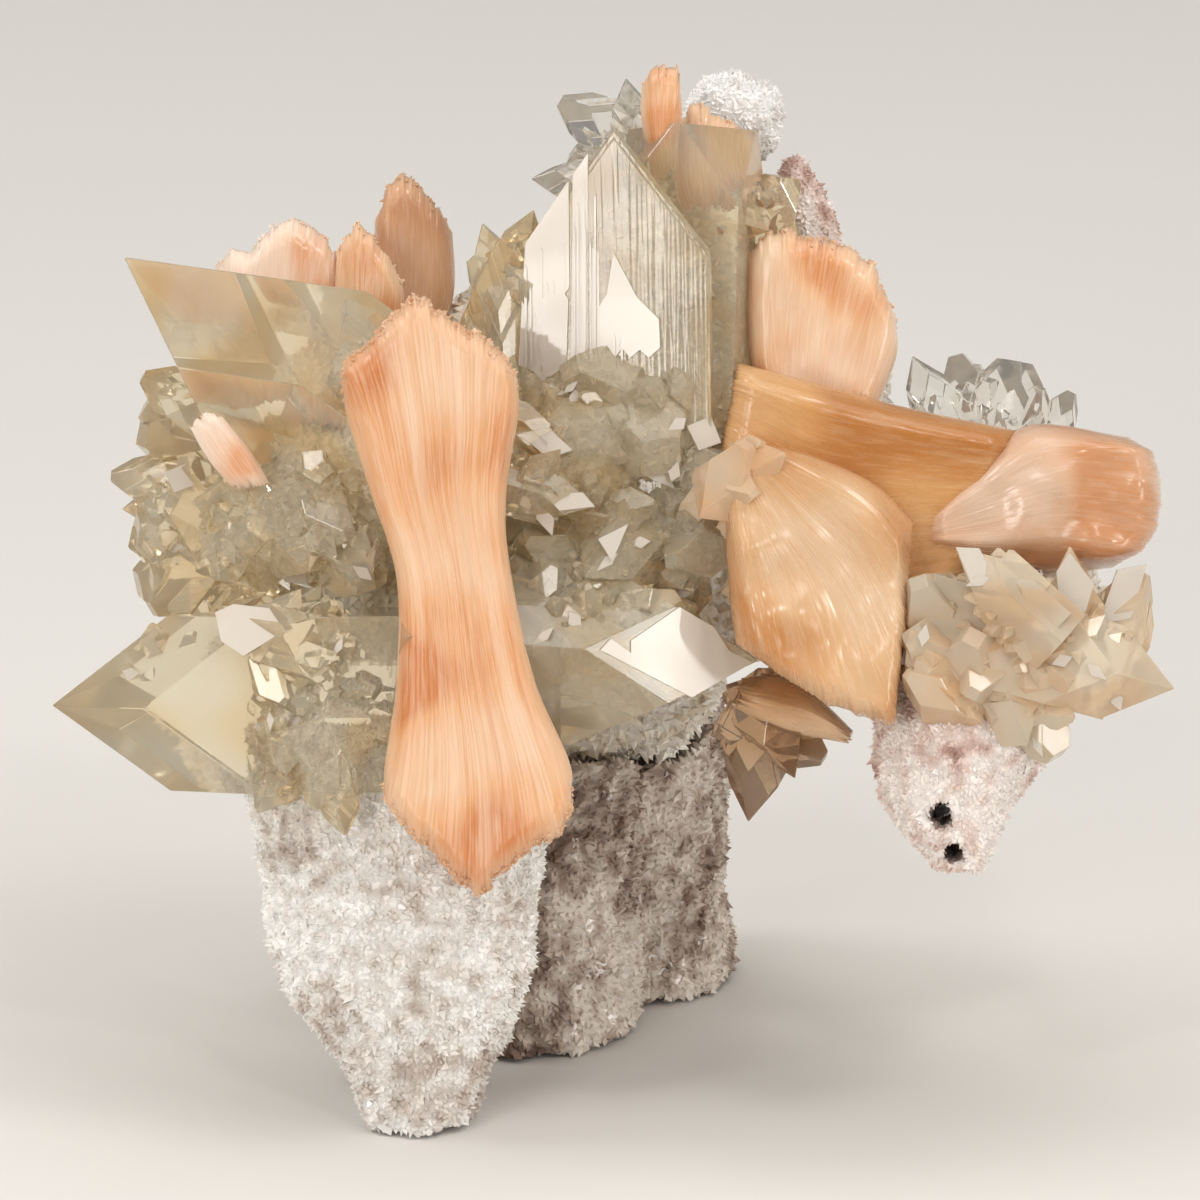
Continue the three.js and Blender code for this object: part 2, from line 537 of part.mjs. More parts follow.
const GROUPS = {
  apophyllite_main: MAIN,
  apophyllite_left: LEFT,
  apophyllite_right: RIGHT,
  apophyllite_top: TOP,
  apophyllite_right_back: RIGHT_BACK,
  apophyllite_under: UNDER,
  apophyllite_back_left: BACK_LEFT,
  apophyllite_back_right: BACK_RIGHT,
};

const crystals = {};
const crystalPockets = [];
for (const [name, list] of Object.entries(GROUPS)) {
  const tools = [...rockPockets, ...bladePockets, ...crystalPockets];
  crystals[name] = largest(cut(join(list.map((one) => crystal(one))), tools));
  crystalPockets.push(...list.map((one) => crystal(one, GAP)));
}

const face = new THREE.Group();
for (const [name, solid] of Object.entries(rocks)) face.add(toMesh(name, largest(solid), "quartz"));
for (const [name, solid] of Object.entries(blades)) face.add(toMesh(name, solid, "stilbite"));
for (const [name, solid] of Object.entries(crystals)) face.add(toMesh(name, solid, "apophyllite"));
face.position.set(-FOOT_X, -FOOT_D, -FOOT_D * Math.tan(LEAN));

const leaning = new THREE.Group();
leaning.rotation.x = -LEAN;
leaning.add(face);

const cluster = new THREE.Group();
cluster.add(leaning);

export default cluster;
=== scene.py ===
# Apophyllite cluster: clear to milky apophyllite and peach stilbite sheaves on chalcedony stalactites
# that are coated with fine quartz. Metres, +Z up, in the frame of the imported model.
import math
import random

import bmesh
import bpy
import numpy as np
from mathutils import Matrix, Vector


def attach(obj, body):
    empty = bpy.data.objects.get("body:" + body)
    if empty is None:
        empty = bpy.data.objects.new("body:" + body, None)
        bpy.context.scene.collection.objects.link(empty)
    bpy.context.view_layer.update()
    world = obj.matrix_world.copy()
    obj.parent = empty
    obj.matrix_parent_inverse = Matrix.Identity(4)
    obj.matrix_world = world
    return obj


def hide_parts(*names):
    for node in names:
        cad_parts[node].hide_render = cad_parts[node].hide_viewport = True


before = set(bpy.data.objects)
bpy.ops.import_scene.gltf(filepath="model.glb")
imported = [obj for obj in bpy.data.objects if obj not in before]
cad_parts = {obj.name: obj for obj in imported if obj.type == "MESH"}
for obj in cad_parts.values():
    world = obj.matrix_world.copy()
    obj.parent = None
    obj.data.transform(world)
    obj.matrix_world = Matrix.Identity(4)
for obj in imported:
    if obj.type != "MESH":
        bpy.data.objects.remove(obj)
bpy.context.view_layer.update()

# ---------------------------------------------------------------------------------------------
# The view. The specimen is measured square to its display face, in millimetres: x to the right,
# d into the specimen, h up the face, from the foot of the front stalactite. The face leans back,
# and the camera looks straight at it.
LEAN = math.radians(18)
REAR_FOOT = Vector((-3, 41, 41 * math.tan(LEAN)))  # the model's origin
TO_WORLD = Matrix.Scale(0.001, 4) @ Matrix.Rotation(-LEAN, 4, "X") @ Matrix.Translation(-REAR_FOOT)
VIEW_MIDDLE = (0, 10, 53.8)
CAMERA_DISTANCE = 1.2
FIELD_WIDTH = 0.120


def at(x, d, h):
    """A place on the display face as a world point."""
    return TO_WORLD @ Vector((x, d, h))


def way(x, d, h):
    """A direction of the display face as a world direction."""
    return Matrix.Rotation(-LEAN, 3, "X") @ Vector((x, d, h))


camera = bpy.data.objects.new("camera", bpy.data.cameras.new("camera"))
camera.data.sensor_width = 36
camera.data.lens = camera.data.sensor_width * CAMERA_DISTANCE / FIELD_WIDTH
camera.data.clip_end = 10
camera.location = at(*VIEW_MIDDLE) - way(0, 1, 0) * CAMERA_DISTANCE
camera.rotation_euler = way(0, 1, 0).to_track_quat("-Z", "Y").to_euler()
bpy.context.collection.objects.link(camera)
bpy.context.scene.camera = camera

# ---------------------------------------------------------------------------------------------
# The studio. A pale floor, soft boxes that the broad crystal faces mirror, small bright lights that
# the facets flash with, a soft light overhead, and surroundings that darken towards the horizon.
BOX_REACH = 0.9


def node(tree, kind, inputs={}, **settings):
    """Adds a node, sets it up, and fills its inputs, by identifier, with values or links."""
    made = tree.nodes.new(kind)
    for key, value in settings.items():
        setattr(made, key, value)
    for socket in made.inputs:
        value = inputs.get(socket.identifier)
        if isinstance(value, bpy.types.NodeSocket):
            tree.links.new(value, socket)
        elif value is not None:
            socket.default_value = value
    return made


def mirrored(normal):
    """Where a flat face sends the camera's line of sight."""
    normal = way(*normal).normalized()
    look = way(0, 1, 0)
    return look - 2 * look.dot(normal) * normal


def softbox(name, out, width, height, radiance, reach=BOX_REACH):
    """A soft light on the side of the specimen that out says, turned to it. Sizes are in metres."""
    lamp = bpy.data.lights.new(name, "AREA")
    lamp.shape = "RECTANGLE"
    lamp.size, lamp.size_y = width, height
    lamp.energy = radiance * math.pi * width * height
    lamp.color = (1.0, 0.975, 0.94)
    box = bpy.data.objects.new(name, lamp)
    box.location = at(*VIEW_MIDDLE) + out.normalized() * reach
    box.rotation_euler = (-out).to_track_quat("-Z", "Y").to_euler()
    bpy.context.collection.objects.link(box)


softbox("box_left", mirrored((-0.235, -0.972, 0)), 0.24, 0.32, 8)
softbox("box_right", mirrored((0.53, -0.848, -0.05)), 0.26, 0.30, 8)
softbox("box_high", mirrored((-0.48, -0.76, 0.44)), 0.28, 0.24, 8)
softbox("box_far", mirrored((0.30, -0.85, 0.43)), 0.22, 0.22, 9)
softbox("box_above", Vector((0.1, 0.15, 1)), 0.9, 0.7, 1.6, reach=1.1)
# the facets that the small, bright lights are for, all over the front
SPARKLE_NORMALS = (
    (0.12, -1, 0.28), (-0.2, -1, 0.3), (0.42, -1, 0.18),
    (-0.5, -1, 0.05), (0.16, -1, -0.22), (-0.3, -1, -0.24),
)
for number, normal in enumerate(SPARKLE_NORMALS):
    softbox(f"sparkle_{number}", mirrored(normal), 0.08, 0.08, 28)

world = bpy.data.worlds.new("studio")
world.use_nodes = True
sky = world.node_tree
upward = node(sky, "ShaderNodeSeparateXYZ", {"Vector": node(sky, "ShaderNodeTexCoord").outputs["Generated"]})
shade = node(sky, "ShaderNodeValToRGB", {"Fac": upward.outputs["Z"]})
for stop, place, grey in zip(shade.color_ramp.elements, (0.0, 0.8), (0.38, 0.95)):
    stop.position = place
    stop.color = (grey, grey * 0.985, grey * 0.955, 1)
sky.links.new(shade.outputs["Color"], sky.nodes["Background"].inputs["Color"])
sky.nodes["Background"].inputs["Strength"].default_value = 0.46
bpy.context.scene.world = world
bpy.context.scene.view_settings.view_transform = "Standard"

FLOOR_HALF = 6.0
floor_finish = bpy.data.materials.new("floor")
floor_finish.use_nodes = True
floor_shader = floor_finish.node_tree.nodes["Principled BSDF"]
floor_shader.inputs["Base Color"].default_value = (0.78, 0.76, 0.73, 1)
floor_shader.inputs["Roughness"].default_value = 0.85
floor_shader.inputs["Specular IOR Level"].default_value = 0
floor_mesh = bpy.data.meshes.new("floor")
corners = [(x * FLOOR_HALF, y * FLOOR_HALF, 0) for x, y in ((-1, -1), (1, -1), (1, 1), (-1, 1))]
floor_mesh.from_pydata(corners, [], [(0, 1, 2, 3)])
floor_mesh.materials.append(floor_finish)
floor = bpy.data.objects.new("floor", floor_mesh)
bpy.context.collection.objects.link(floor)


# ---------------------------------------------------------------------------------------------
# The rock. Chalcedony stalactites and lumps, all coated with sugary quartz: thousands of tiny
# points that stand out of the surface they grew on.
SCATTER_INPUTS = (
    ("Geometry", "NodeSocketGeometry"),
    ("Shapes", "NodeSocketCollection"),
    ("Spacing", "NodeSocketFloat"),
    ("Smallest", "NodeSocketFloat"),
    ("Largest", "NodeSocketFloat"),
    ("Lean", "NodeSocketFloat"),
    ("Seed", "NodeSocketInt"),
)


def out_of(made, identifier):
    """An output of a node by its identifier."""
    return next(s for s in made.outputs if s.identifier == identifier)


def geometry_tree(name, inputs):
    """An empty geometry tree with the given inputs. Returns it and its inlet's sockets."""
    tree = bpy.data.node_groups.new(name, "GeometryNodeTree")
    tree.interface.new_socket("Geometry", in_out="OUTPUT", socket_type="NodeSocketGeometry")
    for label, kind in inputs:
        tree.interface.new_socket(label, in_out="INPUT", socket_type=kind)
    return tree, tree.nodes.new("NodeGroupInput").outputs


def scatter_tree():
    """Puts small shapes on a surface, as thick as its attribute crowd says, as instances."""
    tree, inlet = geometry_tree("scatter", SCATTER_INPUTS)
    crowd = node(tree, "GeometryNodeInputNamedAttribute", {"Name": "crowd"})
    points = node(
        tree,
        "GeometryNodeDistributePointsOnFaces",
        {
            "Mesh": inlet["Geometry"],
            "Distance Min": inlet["Spacing"],
            "Density Max": 1e9,
            "Density Factor": crowd.outputs["Attribute"],
            "Seed": inlet["Seed"],
        },
        distribute_method="POISSON",
    )
    back = node(tree, "ShaderNodeMath", {"Value": inlet["Lean"], "Value_001": -1.0}, operation="MULTIPLY")
    low = node(tree, "ShaderNodeCombineXYZ", {"X": back.outputs[0], "Y": back.outputs[0], "Z": 0.0})
    high = node(tree, "ShaderNodeCombineXYZ", {"X": inlet["Lean"], "Y": inlet["Lean"], "Z": math.tau})
    turn = node(
        tree,
        "FunctionNodeRandomValue",
        {"Min": low.outputs[0], "Max": high.outputs[0], "Seed": inlet["Seed"]},
        data_type="FLOAT_VECTOR",
    )
    spun = node(tree, "FunctionNodeEulerToRotation", {"Euler": out_of(turn, "Value")})
    aimed = node(
        tree,
        "FunctionNodeRotateRotation",
        {"Rotation": points.outputs["Rotation"], "Rotate By": spun.outputs[0]},
        rotation_space="LOCAL",
    )
    roll = node(tree, "FunctionNodeRandomValue", {"Seed": 7}, data_type="FLOAT")
    squared = {"Value": out_of(roll, "Value_001"), "Value_001": 2.0}
    skewed = node(tree, "ShaderNodeMath", squared, operation="POWER")
    sizes = {"Value": skewed.outputs[0], "To Min": inlet["Smallest"], "To Max": inlet["Largest"]}
    shapes = {"Collection": inlet["Shapes"], "Separate Children": True, "Reset Children": True}
    instances = node(
        tree,
        "GeometryNodeInstanceOnPoints",
        {
            "Points": points.outputs["Points"],
            "Instance": node(tree, "GeometryNodeCollectionInfo", shapes).outputs[0],
            "Pick Instance": True,
            "Rotation": aimed.outputs[0],
            "Scale": node(tree, "ShaderNodeMapRange", sizes).outputs["Result"],
        },
    )
    tone = node(tree, "FunctionNodeRandomValue", {"Seed": 3}, data_type="FLOAT")
    marked = {"Geometry": instances.outputs[0], "Name": "tone", "Value": out_of(tone, "Value_001")}
    marked = node(tree, "GeometryNodeStoreNamedAttribute", marked, domain="INSTANCE")
    tree.links.new(marked.outputs[0], tree.nodes.new("NodeGroupOutput").inputs[0])
    return tree


SCATTER = scatter_tree()


def scattered(tree, inlet):
    """The scatter tree inside another tree, fed with that tree's inputs of the same names."""
    made = tree.nodes.new("GeometryNodeGroup")
    made.node_tree = SCATTER
    for label, _ in SCATTER_INPUTS:
        tree.links.new(inlet[label], made.inputs[label])
    return made.outputs[0]


def coat_tree():
    """A surface together with the small shapes that grow on it."""
    tree, inlet = geometry_tree("coat", SCATTER_INPUTS + (("Finish", "NodeSocketMaterial"),))
    real = node(tree, "GeometryNodeRealizeInstances", {"Geometry": scattered(tree, inlet)})
    both = tree.nodes.new("GeometryNodeJoinGeometry")
    tree.links.new(inlet["Geometry"], both.inputs[0])
    tree.links.new(real.outputs[0], both.inputs[0])
    coloured = {"Geometry": both.outputs[0], "Material": inlet["Finish"]}
    coloured = node(tree, "GeometryNodeSetMaterial", coloured)
    tree.links.new(coloured.outputs[0], tree.nodes.new("NodeGroupOutput").inputs[0])
    return tree


COAT = coat_tree()


def as_mesh(form, name):
    """A bmesh as a mesh."""
    mesh = bpy.data.meshes.new(name)
    form.to_mesh(mesh)
    form.free()
    return mesh


def as_object(mesh, name):
    """A mesh as an object of the scene."""
    made = bpy.data.objects.new(name, mesh)
    bpy.context.collection.objects.link(made)
    return made


def evaluated(source, name):
    """The object's mesh with its modifiers done, as a plain new object in its place."""
    bpy.context.view_layer.update()
    graph = bpy.context.evaluated_depsgraph_get()
    mesh = bpy.data.meshes.new_from_object(source.evaluated_get(graph))
    mesh.name = name
    bpy.data.objects.remove(source)
    return as_object(mesh, name)


def grown(surface, name, tree, **values):
    """Runs a tree on a surface, with its inputs by name. Lengths are in millimetres."""
    modifier = surface.modifiers.new("growth", "NODES")
    modifier.node_group = tree
    for item in tree.interface.items_tree:
        if item.item_type == "SOCKET" and item.in_out == "INPUT" and item.name in values:
            length = item.name in ("Spacing", "Smallest", "Largest")
            modifier[item.identifier] = values[item.name] / 1000 if length else values[item.name]
    return evaluated(surface, name)


def shape_box(name, meshes):
    """A collection, away from the scene, of the shapes that a growth picks from."""
    box = bpy.data.collections.new(name)
    for i, mesh in enumerate(meshes):
        box.objects.link(bpy.data.objects.new(f"{name}_{i}", mesh))
    return box


def spike(name, sides, radius, rise, top=0.0):
    """A small pyramid about Z, a little sunk, with a point or a flat end."""
    form = bmesh.new()
    bmesh.ops.create_cone(
        form, cap_ends=True, segments=sides, radius1=radius, radius2=top, depth=rise + 0.25,
        matrix=Matrix.Translation((0, 0, (rise - 0.25) / 2)),
    )
    return as_mesh(form, name)


quartz_points = shape_box(
    "quartz_point",
    [spike("point", 4, 0.55, 0.62), spike("blunt_point", 5, 0.6, 0.42), spike("steep_point", 4, 0.45, 0.8)],
)


def cad_copy(name):
    """A copy of a CAD node's mesh, its loose triangles joined, as a new object."""
    form = bmesh.new()
    form.from_mesh(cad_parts[name].data)
    bmesh.ops.remove_doubles(form, verts=form.verts, dist=2e-6)
    return as_object(as_mesh(form, name + "_form"), name + "_form")


def coordinates(mesh):
    """The places of a mesh's vertices as rows."""
    points = np.empty(len(mesh.vertices) * 3)
    mesh.vertices.foreach_get("co", points)
    return points.reshape(-1, 3)


def measured(world_points):
    """Rows of world points as rows of places on the display face."""
    back = np.array(TO_WORLD.inverted())
    return world_points @ back[:3, :3].T + back[:3, 3]


def placed(points):
    """Rows of places on the display face as rows of world points."""
    there = np.array(TO_WORLD)
    return np.asarray(points) @ there[:3, :3].T + there[:3, 3]


def waves(points, size, seed, octaves=4):
    """Smooth random relief from -1 to 1 over space, its largest lumps about one size across."""
    rng = np.random.default_rng(seed)
    total = np.zeros(len(points))
    for octave in range(octaves):
        for _ in range(4):
            direction = rng.normal(size=3)
            direction *= math.tau * 2**octave / (1.6 * size * np.linalg.norm(direction))
            bend = 1.3 * np.sin(points @ direction[[1, 2, 0]] * 0.7)
            total += 0.55**octave * np.sin(points @ direction + rng.uniform(0, math.tau) + bend)
    return np.clip(total / 4, -1, 1)


def keep(mesh, name, values):
    """Stores a number for each vertex of a mesh."""
    attribute = mesh.attributes.new(name, "FLOAT", "POINT")
    attribute.data.foreach_set("value", np.asarray(values, np.float32))


def rock(name, voxel, relief, sink, seed, holes):
    """A CAD rock node made fine and knobbly, its holes sunk and kept as a mask of painted shade. Holes are
    (mouth, direction, radius, depth).
    """
    form = cad_copy(name)
    remesh = form.modifiers.new("remesh", "REMESH")
    remesh.mode = "VOXEL"
    remesh.voxel_size = voxel / 1000
    smooth = form.modifiers.new("smooth", "SMOOTH")
    smooth.iterations = 6
    smooth.factor = 0.6
    form = evaluated(form, name + "_fine")
    mesh = form.data
    points = measured(coordinates(mesh))
    normals = np.array([v.vector for v in mesh.vertex_normals])
    push = relief * waves(points, 9, seed) + 0.5 * relief * waves(points, 2.6, seed + 1) - sink
    moved = coordinates(mesh) + normals * push[:, None] / 1000
    # how far each vertex lies in a hole: the mask of the painted shade
    inside = np.zeros(len(points))
    for mouth, direction, radius, depth in holes:
        direction = np.asarray(direction) / np.linalg.norm(direction)
        offset = points - mouth
        away = np.linalg.norm(offset - np.outer(offset @ direction, direction), axis=1)
        near = np.clip(1.35 - away / radius, 0, 0.35) / 0.35 * (np.linalg.norm(offset, axis=1) < 3 * radius)
        sunk = near * near * (3 - 2 * near)
        inside = np.maximum(inside, sunk)
        moved += np.outer(depth * sunk, way(*direction)) / 1000
    moved[:, 2] = np.maximum(moved[:, 2], 2e-5)
    mesh.vertices.foreach_set("co", moved.ravel())
    cut_foot = (moved[:, 2] < 4e-4) & (normals[:, 2] < -0.5)
    keep(mesh, "crowd", np.where(cut_foot | (inside > 0.3), 0, 1))
    keep(mesh, "painted_canal_shade", inside)
    mesh.polygons.foreach_set("use_smooth", np.ones(len(mesh.polygons), bool))
    mesh.update()
    return form


def noise(tree, vector, scale, detail=2.0, roughness=0.5, flat=False):
    """Soft random patches from 0 to 1."""
    values = {"Vector": vector, "Scale": scale, "Detail": detail, "Roughness": roughness}
    dimensions = "2D" if flat else "3D"
    return node(tree, "ShaderNodeTexNoise", values, noise_dimensions=dimensions).outputs["Fac"]


def mixed(tree, factor, first, second, how="MIX"):
    """The first colour where the factor is 0, and the second where it is 1."""
    values = {"Factor_Float": factor, "A_Color": first, "B_Color": second}
    return out_of(node(tree, "ShaderNodeMix", values, data_type="RGBA", blend_type=how), "Result_Color")


def spread(tree, value, low, high, to_low=0.0, to_high=1.0):
    """A value's range as another range."""
    values = {"Value": value, "From Min": low, "From Max": high, "To Min": to_low, "To Max": to_high}
    return node(tree, "ShaderNodeMapRange", values).outputs["Result"]


def product(tree, first, second):
    """Two values multiplied."""
    values = {"Value": first, "Value_001": second}
    return node(tree, "ShaderNodeMath", values, operation="MULTIPLY").outputs[0]


def stored(tree, name):
    """A number that the mesh holds under this name."""
    return node(tree, "ShaderNodeAttribute", attribute_name=name).outputs["Fac"]


def shader_group(name, colours, numbers, outputs):
    """An empty shader group with inputs and outputs by label. Returns it, its inlet, its outlet."""
    tree = bpy.data.node_groups.new(name, "ShaderNodeTree")
    kinds = [(label, "NodeSocketColor") for label in colours]
    kinds += [(label, "NodeSocketFloat") for label in numbers]
    for label, kind in kinds:
        tree.interface.new_socket(label, in_out="INPUT", socket_type=kind)
    for label in outputs:
        kind = "NodeSocketColor" if label == "Colour" else "NodeSocketFloat"
        tree.interface.new_socket(label, in_out="OUTPUT", socket_type=kind)
    return tree, tree.nodes.new("NodeGroupInput").outputs, tree.nodes.new("NodeGroupOutput").inputs


def material(name, group, values, **plain):
    """A material whose colour and roughness come from a group. Returns it, its tree, the group."""
    made = bpy.data.materials.new(name)
    made.use_nodes = True
    tree = made.node_tree
    shader = tree.nodes["Principled BSDF"]
    for key, value in plain.items():
        shader.inputs[key.replace("_", " ")].default_value = value
    effect = tree.nodes.new("ShaderNodeGroup")
    effect.node_tree = group
    for key, value in values.items():
        effect.inputs[key].default_value = (*value, 1) if isinstance(value, tuple) else value
    tree.links.new(effect.outputs["Colour"], shader.inputs["Base Color"])
    tree.links.new(effect.outputs["Roughness"], shader.inputs["Roughness"])
    return made, tree, effect


def sugar_group():
    """Sugary quartz: patches and pits by depth, each grain a little its own shade, and painted shade,
    near-black, in the holes.
    """
    outputs = ("Colour", "Roughness")
    tree, inlet, outlet = shader_group("sugar", ("Dark", "Middle", "Pale"), ("Patches",), outputs)
    place = node(tree, "ShaderNodeTexCoord").outputs["Object"]
    patches = noise(tree, place, inlet["Patches"], 2, 0.62)
    pits = product(tree, noise(tree, place, 560, 0), 0.5)
    depth = node(tree, "ShaderNodeMath", {"Value": pits, "Value_001": patches}, operation="ADD").outputs[0]
    colour = mixed(tree, spread(tree, depth, 0.56, 0.7), inlet["Dark"], inlet["Middle"])
    colour = mixed(tree, spread(tree, depth, 0.7, 0.86), colour, inlet["Pale"])
    tone = stored(tree, "tone")
    grain = spread(tree, tone, 0, 1, 0.86, 1.06)
    shade = node(tree, "ShaderNodeCombineColor", {"Red": grain, "Green": grain, "Blue": grain}).outputs[0]
    colour = mixed(tree, 1.0, colour, shade, "MULTIPLY")
    # painted shade: the holes near-black, as if no light reached into them
    colour = mixed(tree, stored(tree, "painted_canal_shade"), colour, (0.045, 0.026, 0.02, 1))
    tree.links.new(colour, outlet["Colour"])
    tree.links.new(spread(tree, tone, 0, 1, 0.12, 0.5), outlet["Roughness"])
    return tree


SUGAR = sugar_group()


def quartz(name, dark, middle, pale, patch):
    """Quartz of the given colours, in patches of the given size in metres."""
    return material(name, SUGAR, {"Dark": dark, "Middle": middle, "Pale": pale, "Patches": 1 / patch})[0]


WHITE_QUARTZ = quartz("quartz_white", (0.62, 0.53, 0.47), (0.86, 0.81, 0.76), (0.98, 0.965, 0.94), 0.016)
SNOW_QUARTZ = quartz("quartz_snow", (0.80, 0.76, 0.72), (0.93, 0.91, 0.89), (0.99, 0.98, 0.97), 0.012)
BROWN_QUARTZ = quartz("quartz_brown", (0.25, 0.165, 0.125), (0.56, 0.45, 0.375), (0.88, 0.80, 0.72), 0.018)
MAUVE_QUARTZ = quartz("quartz_mauve", (0.56, 0.36, 0.30), (0.84, 0.68, 0.61), (0.97, 0.90, 0.86), 0.014)
CREAM_QUARTZ = quartz("quartz_cream", (0.72, 0.61, 0.46), (0.87, 0.79, 0.66), (0.95, 0.91, 0.84), 0.012)

# two canals in the end of the right stalactite, sunk in and painted near-black as shade
CANALS = (
    (np.array((33.8, -3.6, 32.6)), (0.1, 1, 0.15), 1.1, 3.5),
    (np.array((35.0, -2.8, 28.8)), (0.0, 1, 0.3), 1.0, 3.0),
)
# name, finish, voxel, relief, sink, grain spacing, smallest grain, largest grain, holes
ROCKS = (
    ("stalactite_front", WHITE_QUARTZ, 0.7, 0.55, 0.5, 0.5, 0.6, 1.15, ()),
    ("stalactite_rear", BROWN_QUARTZ, 0.8, 0.55, 0.5, 0.62, 0.65, 1.3, ()),
    ("stalactite_right", MAUVE_QUARTZ, 0.45, 0.35, 0.3, 0.46, 0.45, 1.0, CANALS),
    ("knob_top", SNOW_QUARTZ, 0.5, 0.3, 0.35, 0.44, 0.5, 1.0, ()),
    ("knob_pink", MAUVE_QUARTZ, 0.4, 0.2, 0.3, 0.44, 0.45, 0.9, ()),
    ("matrix", CREAM_QUARTZ, 1.1, 0.9, 0.7, 0.9, 0.9, 1.8, ()),
)
for order, (name, finish, voxel, relief, sink, spacing, smallest, largest, holes) in enumerate(ROCKS):
    coated = grown(
        rock(name, voxel, relief, sink, 40 + order, holes),
        "druse_" + name, COAT, Shapes=quartz_points, Finish=finish,
        Spacing=spacing, Smallest=smallest, Largest=largest, Lean=0.7, Seed=order,
    )
    spots = coordinates(coated.data)
    spots[:, 2] = np.maximum(spots[:, 2], 0)  # nothing stands below the cut foot
    coated.data.vertices.foreach_set("co", spots.ravel())
    coated.data.update()
    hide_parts(name)
    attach(coated, "root")

# ---------------------------------------------------------------------------------------------
# Stilbite. A sheaf is a bundle of thin laths that fans out from its waist or root. Its fibres run
# through a row of stations, each a line across the bundle, and end ragged at the first and last.


def resampled(line, count):
    """Evenly spaced points along a polyline."""
    line = np.asarray(line, float)
    steps = np.concatenate([[0], np.cumsum(np.linalg.norm(np.diff(line, axis=0), axis=1))])
    wanted = np.linspace(0, steps[-1], count)
    return np.stack([np.interp(wanted, steps, line[:, k]) for k in range(line.shape[1])], 1)


def through(stations, t):
    """Points of the smooth curves through the stations at t, one t per fibre, from 0 to 1."""
    count = len(stations) - 1
    place = np.clip(t, 0, 1) * count
    k = np.minimum(place.astype(int), count - 1)
    f = (place - k)[..., None]
    padded = np.concatenate([[2 * stations[0] - stations[1]], stations, [2 * stations[-1] - stations[-2]]])
    column = np.arange(stations.shape[1])
    a, b, c, d = (padded[k + i, column] for i in range(4))
    return 0.5 * (2 * b + (c - a) * f + (2 * a - 5 * b + 4 * c - d) * f**2 + (3 * b - a - 3 * c + d) * f**3)


def laths(across, pitch, rng):
    """For places across a bundle, in millimetres: the lath's number, and how far from its edges."""
    widths = rng.uniform(0.35, 1.65, int(across.max() / pitch * 2) + 6)
    edges = np.concatenate([[-1e-6], np.cumsum(widths) * pitch])
    k = np.searchsorted(edges, across) - 1
    within = (across - edges[k]) / (edges[k + 1] - edges[k])
    return k, 1 - np.abs(2 * within - 1)


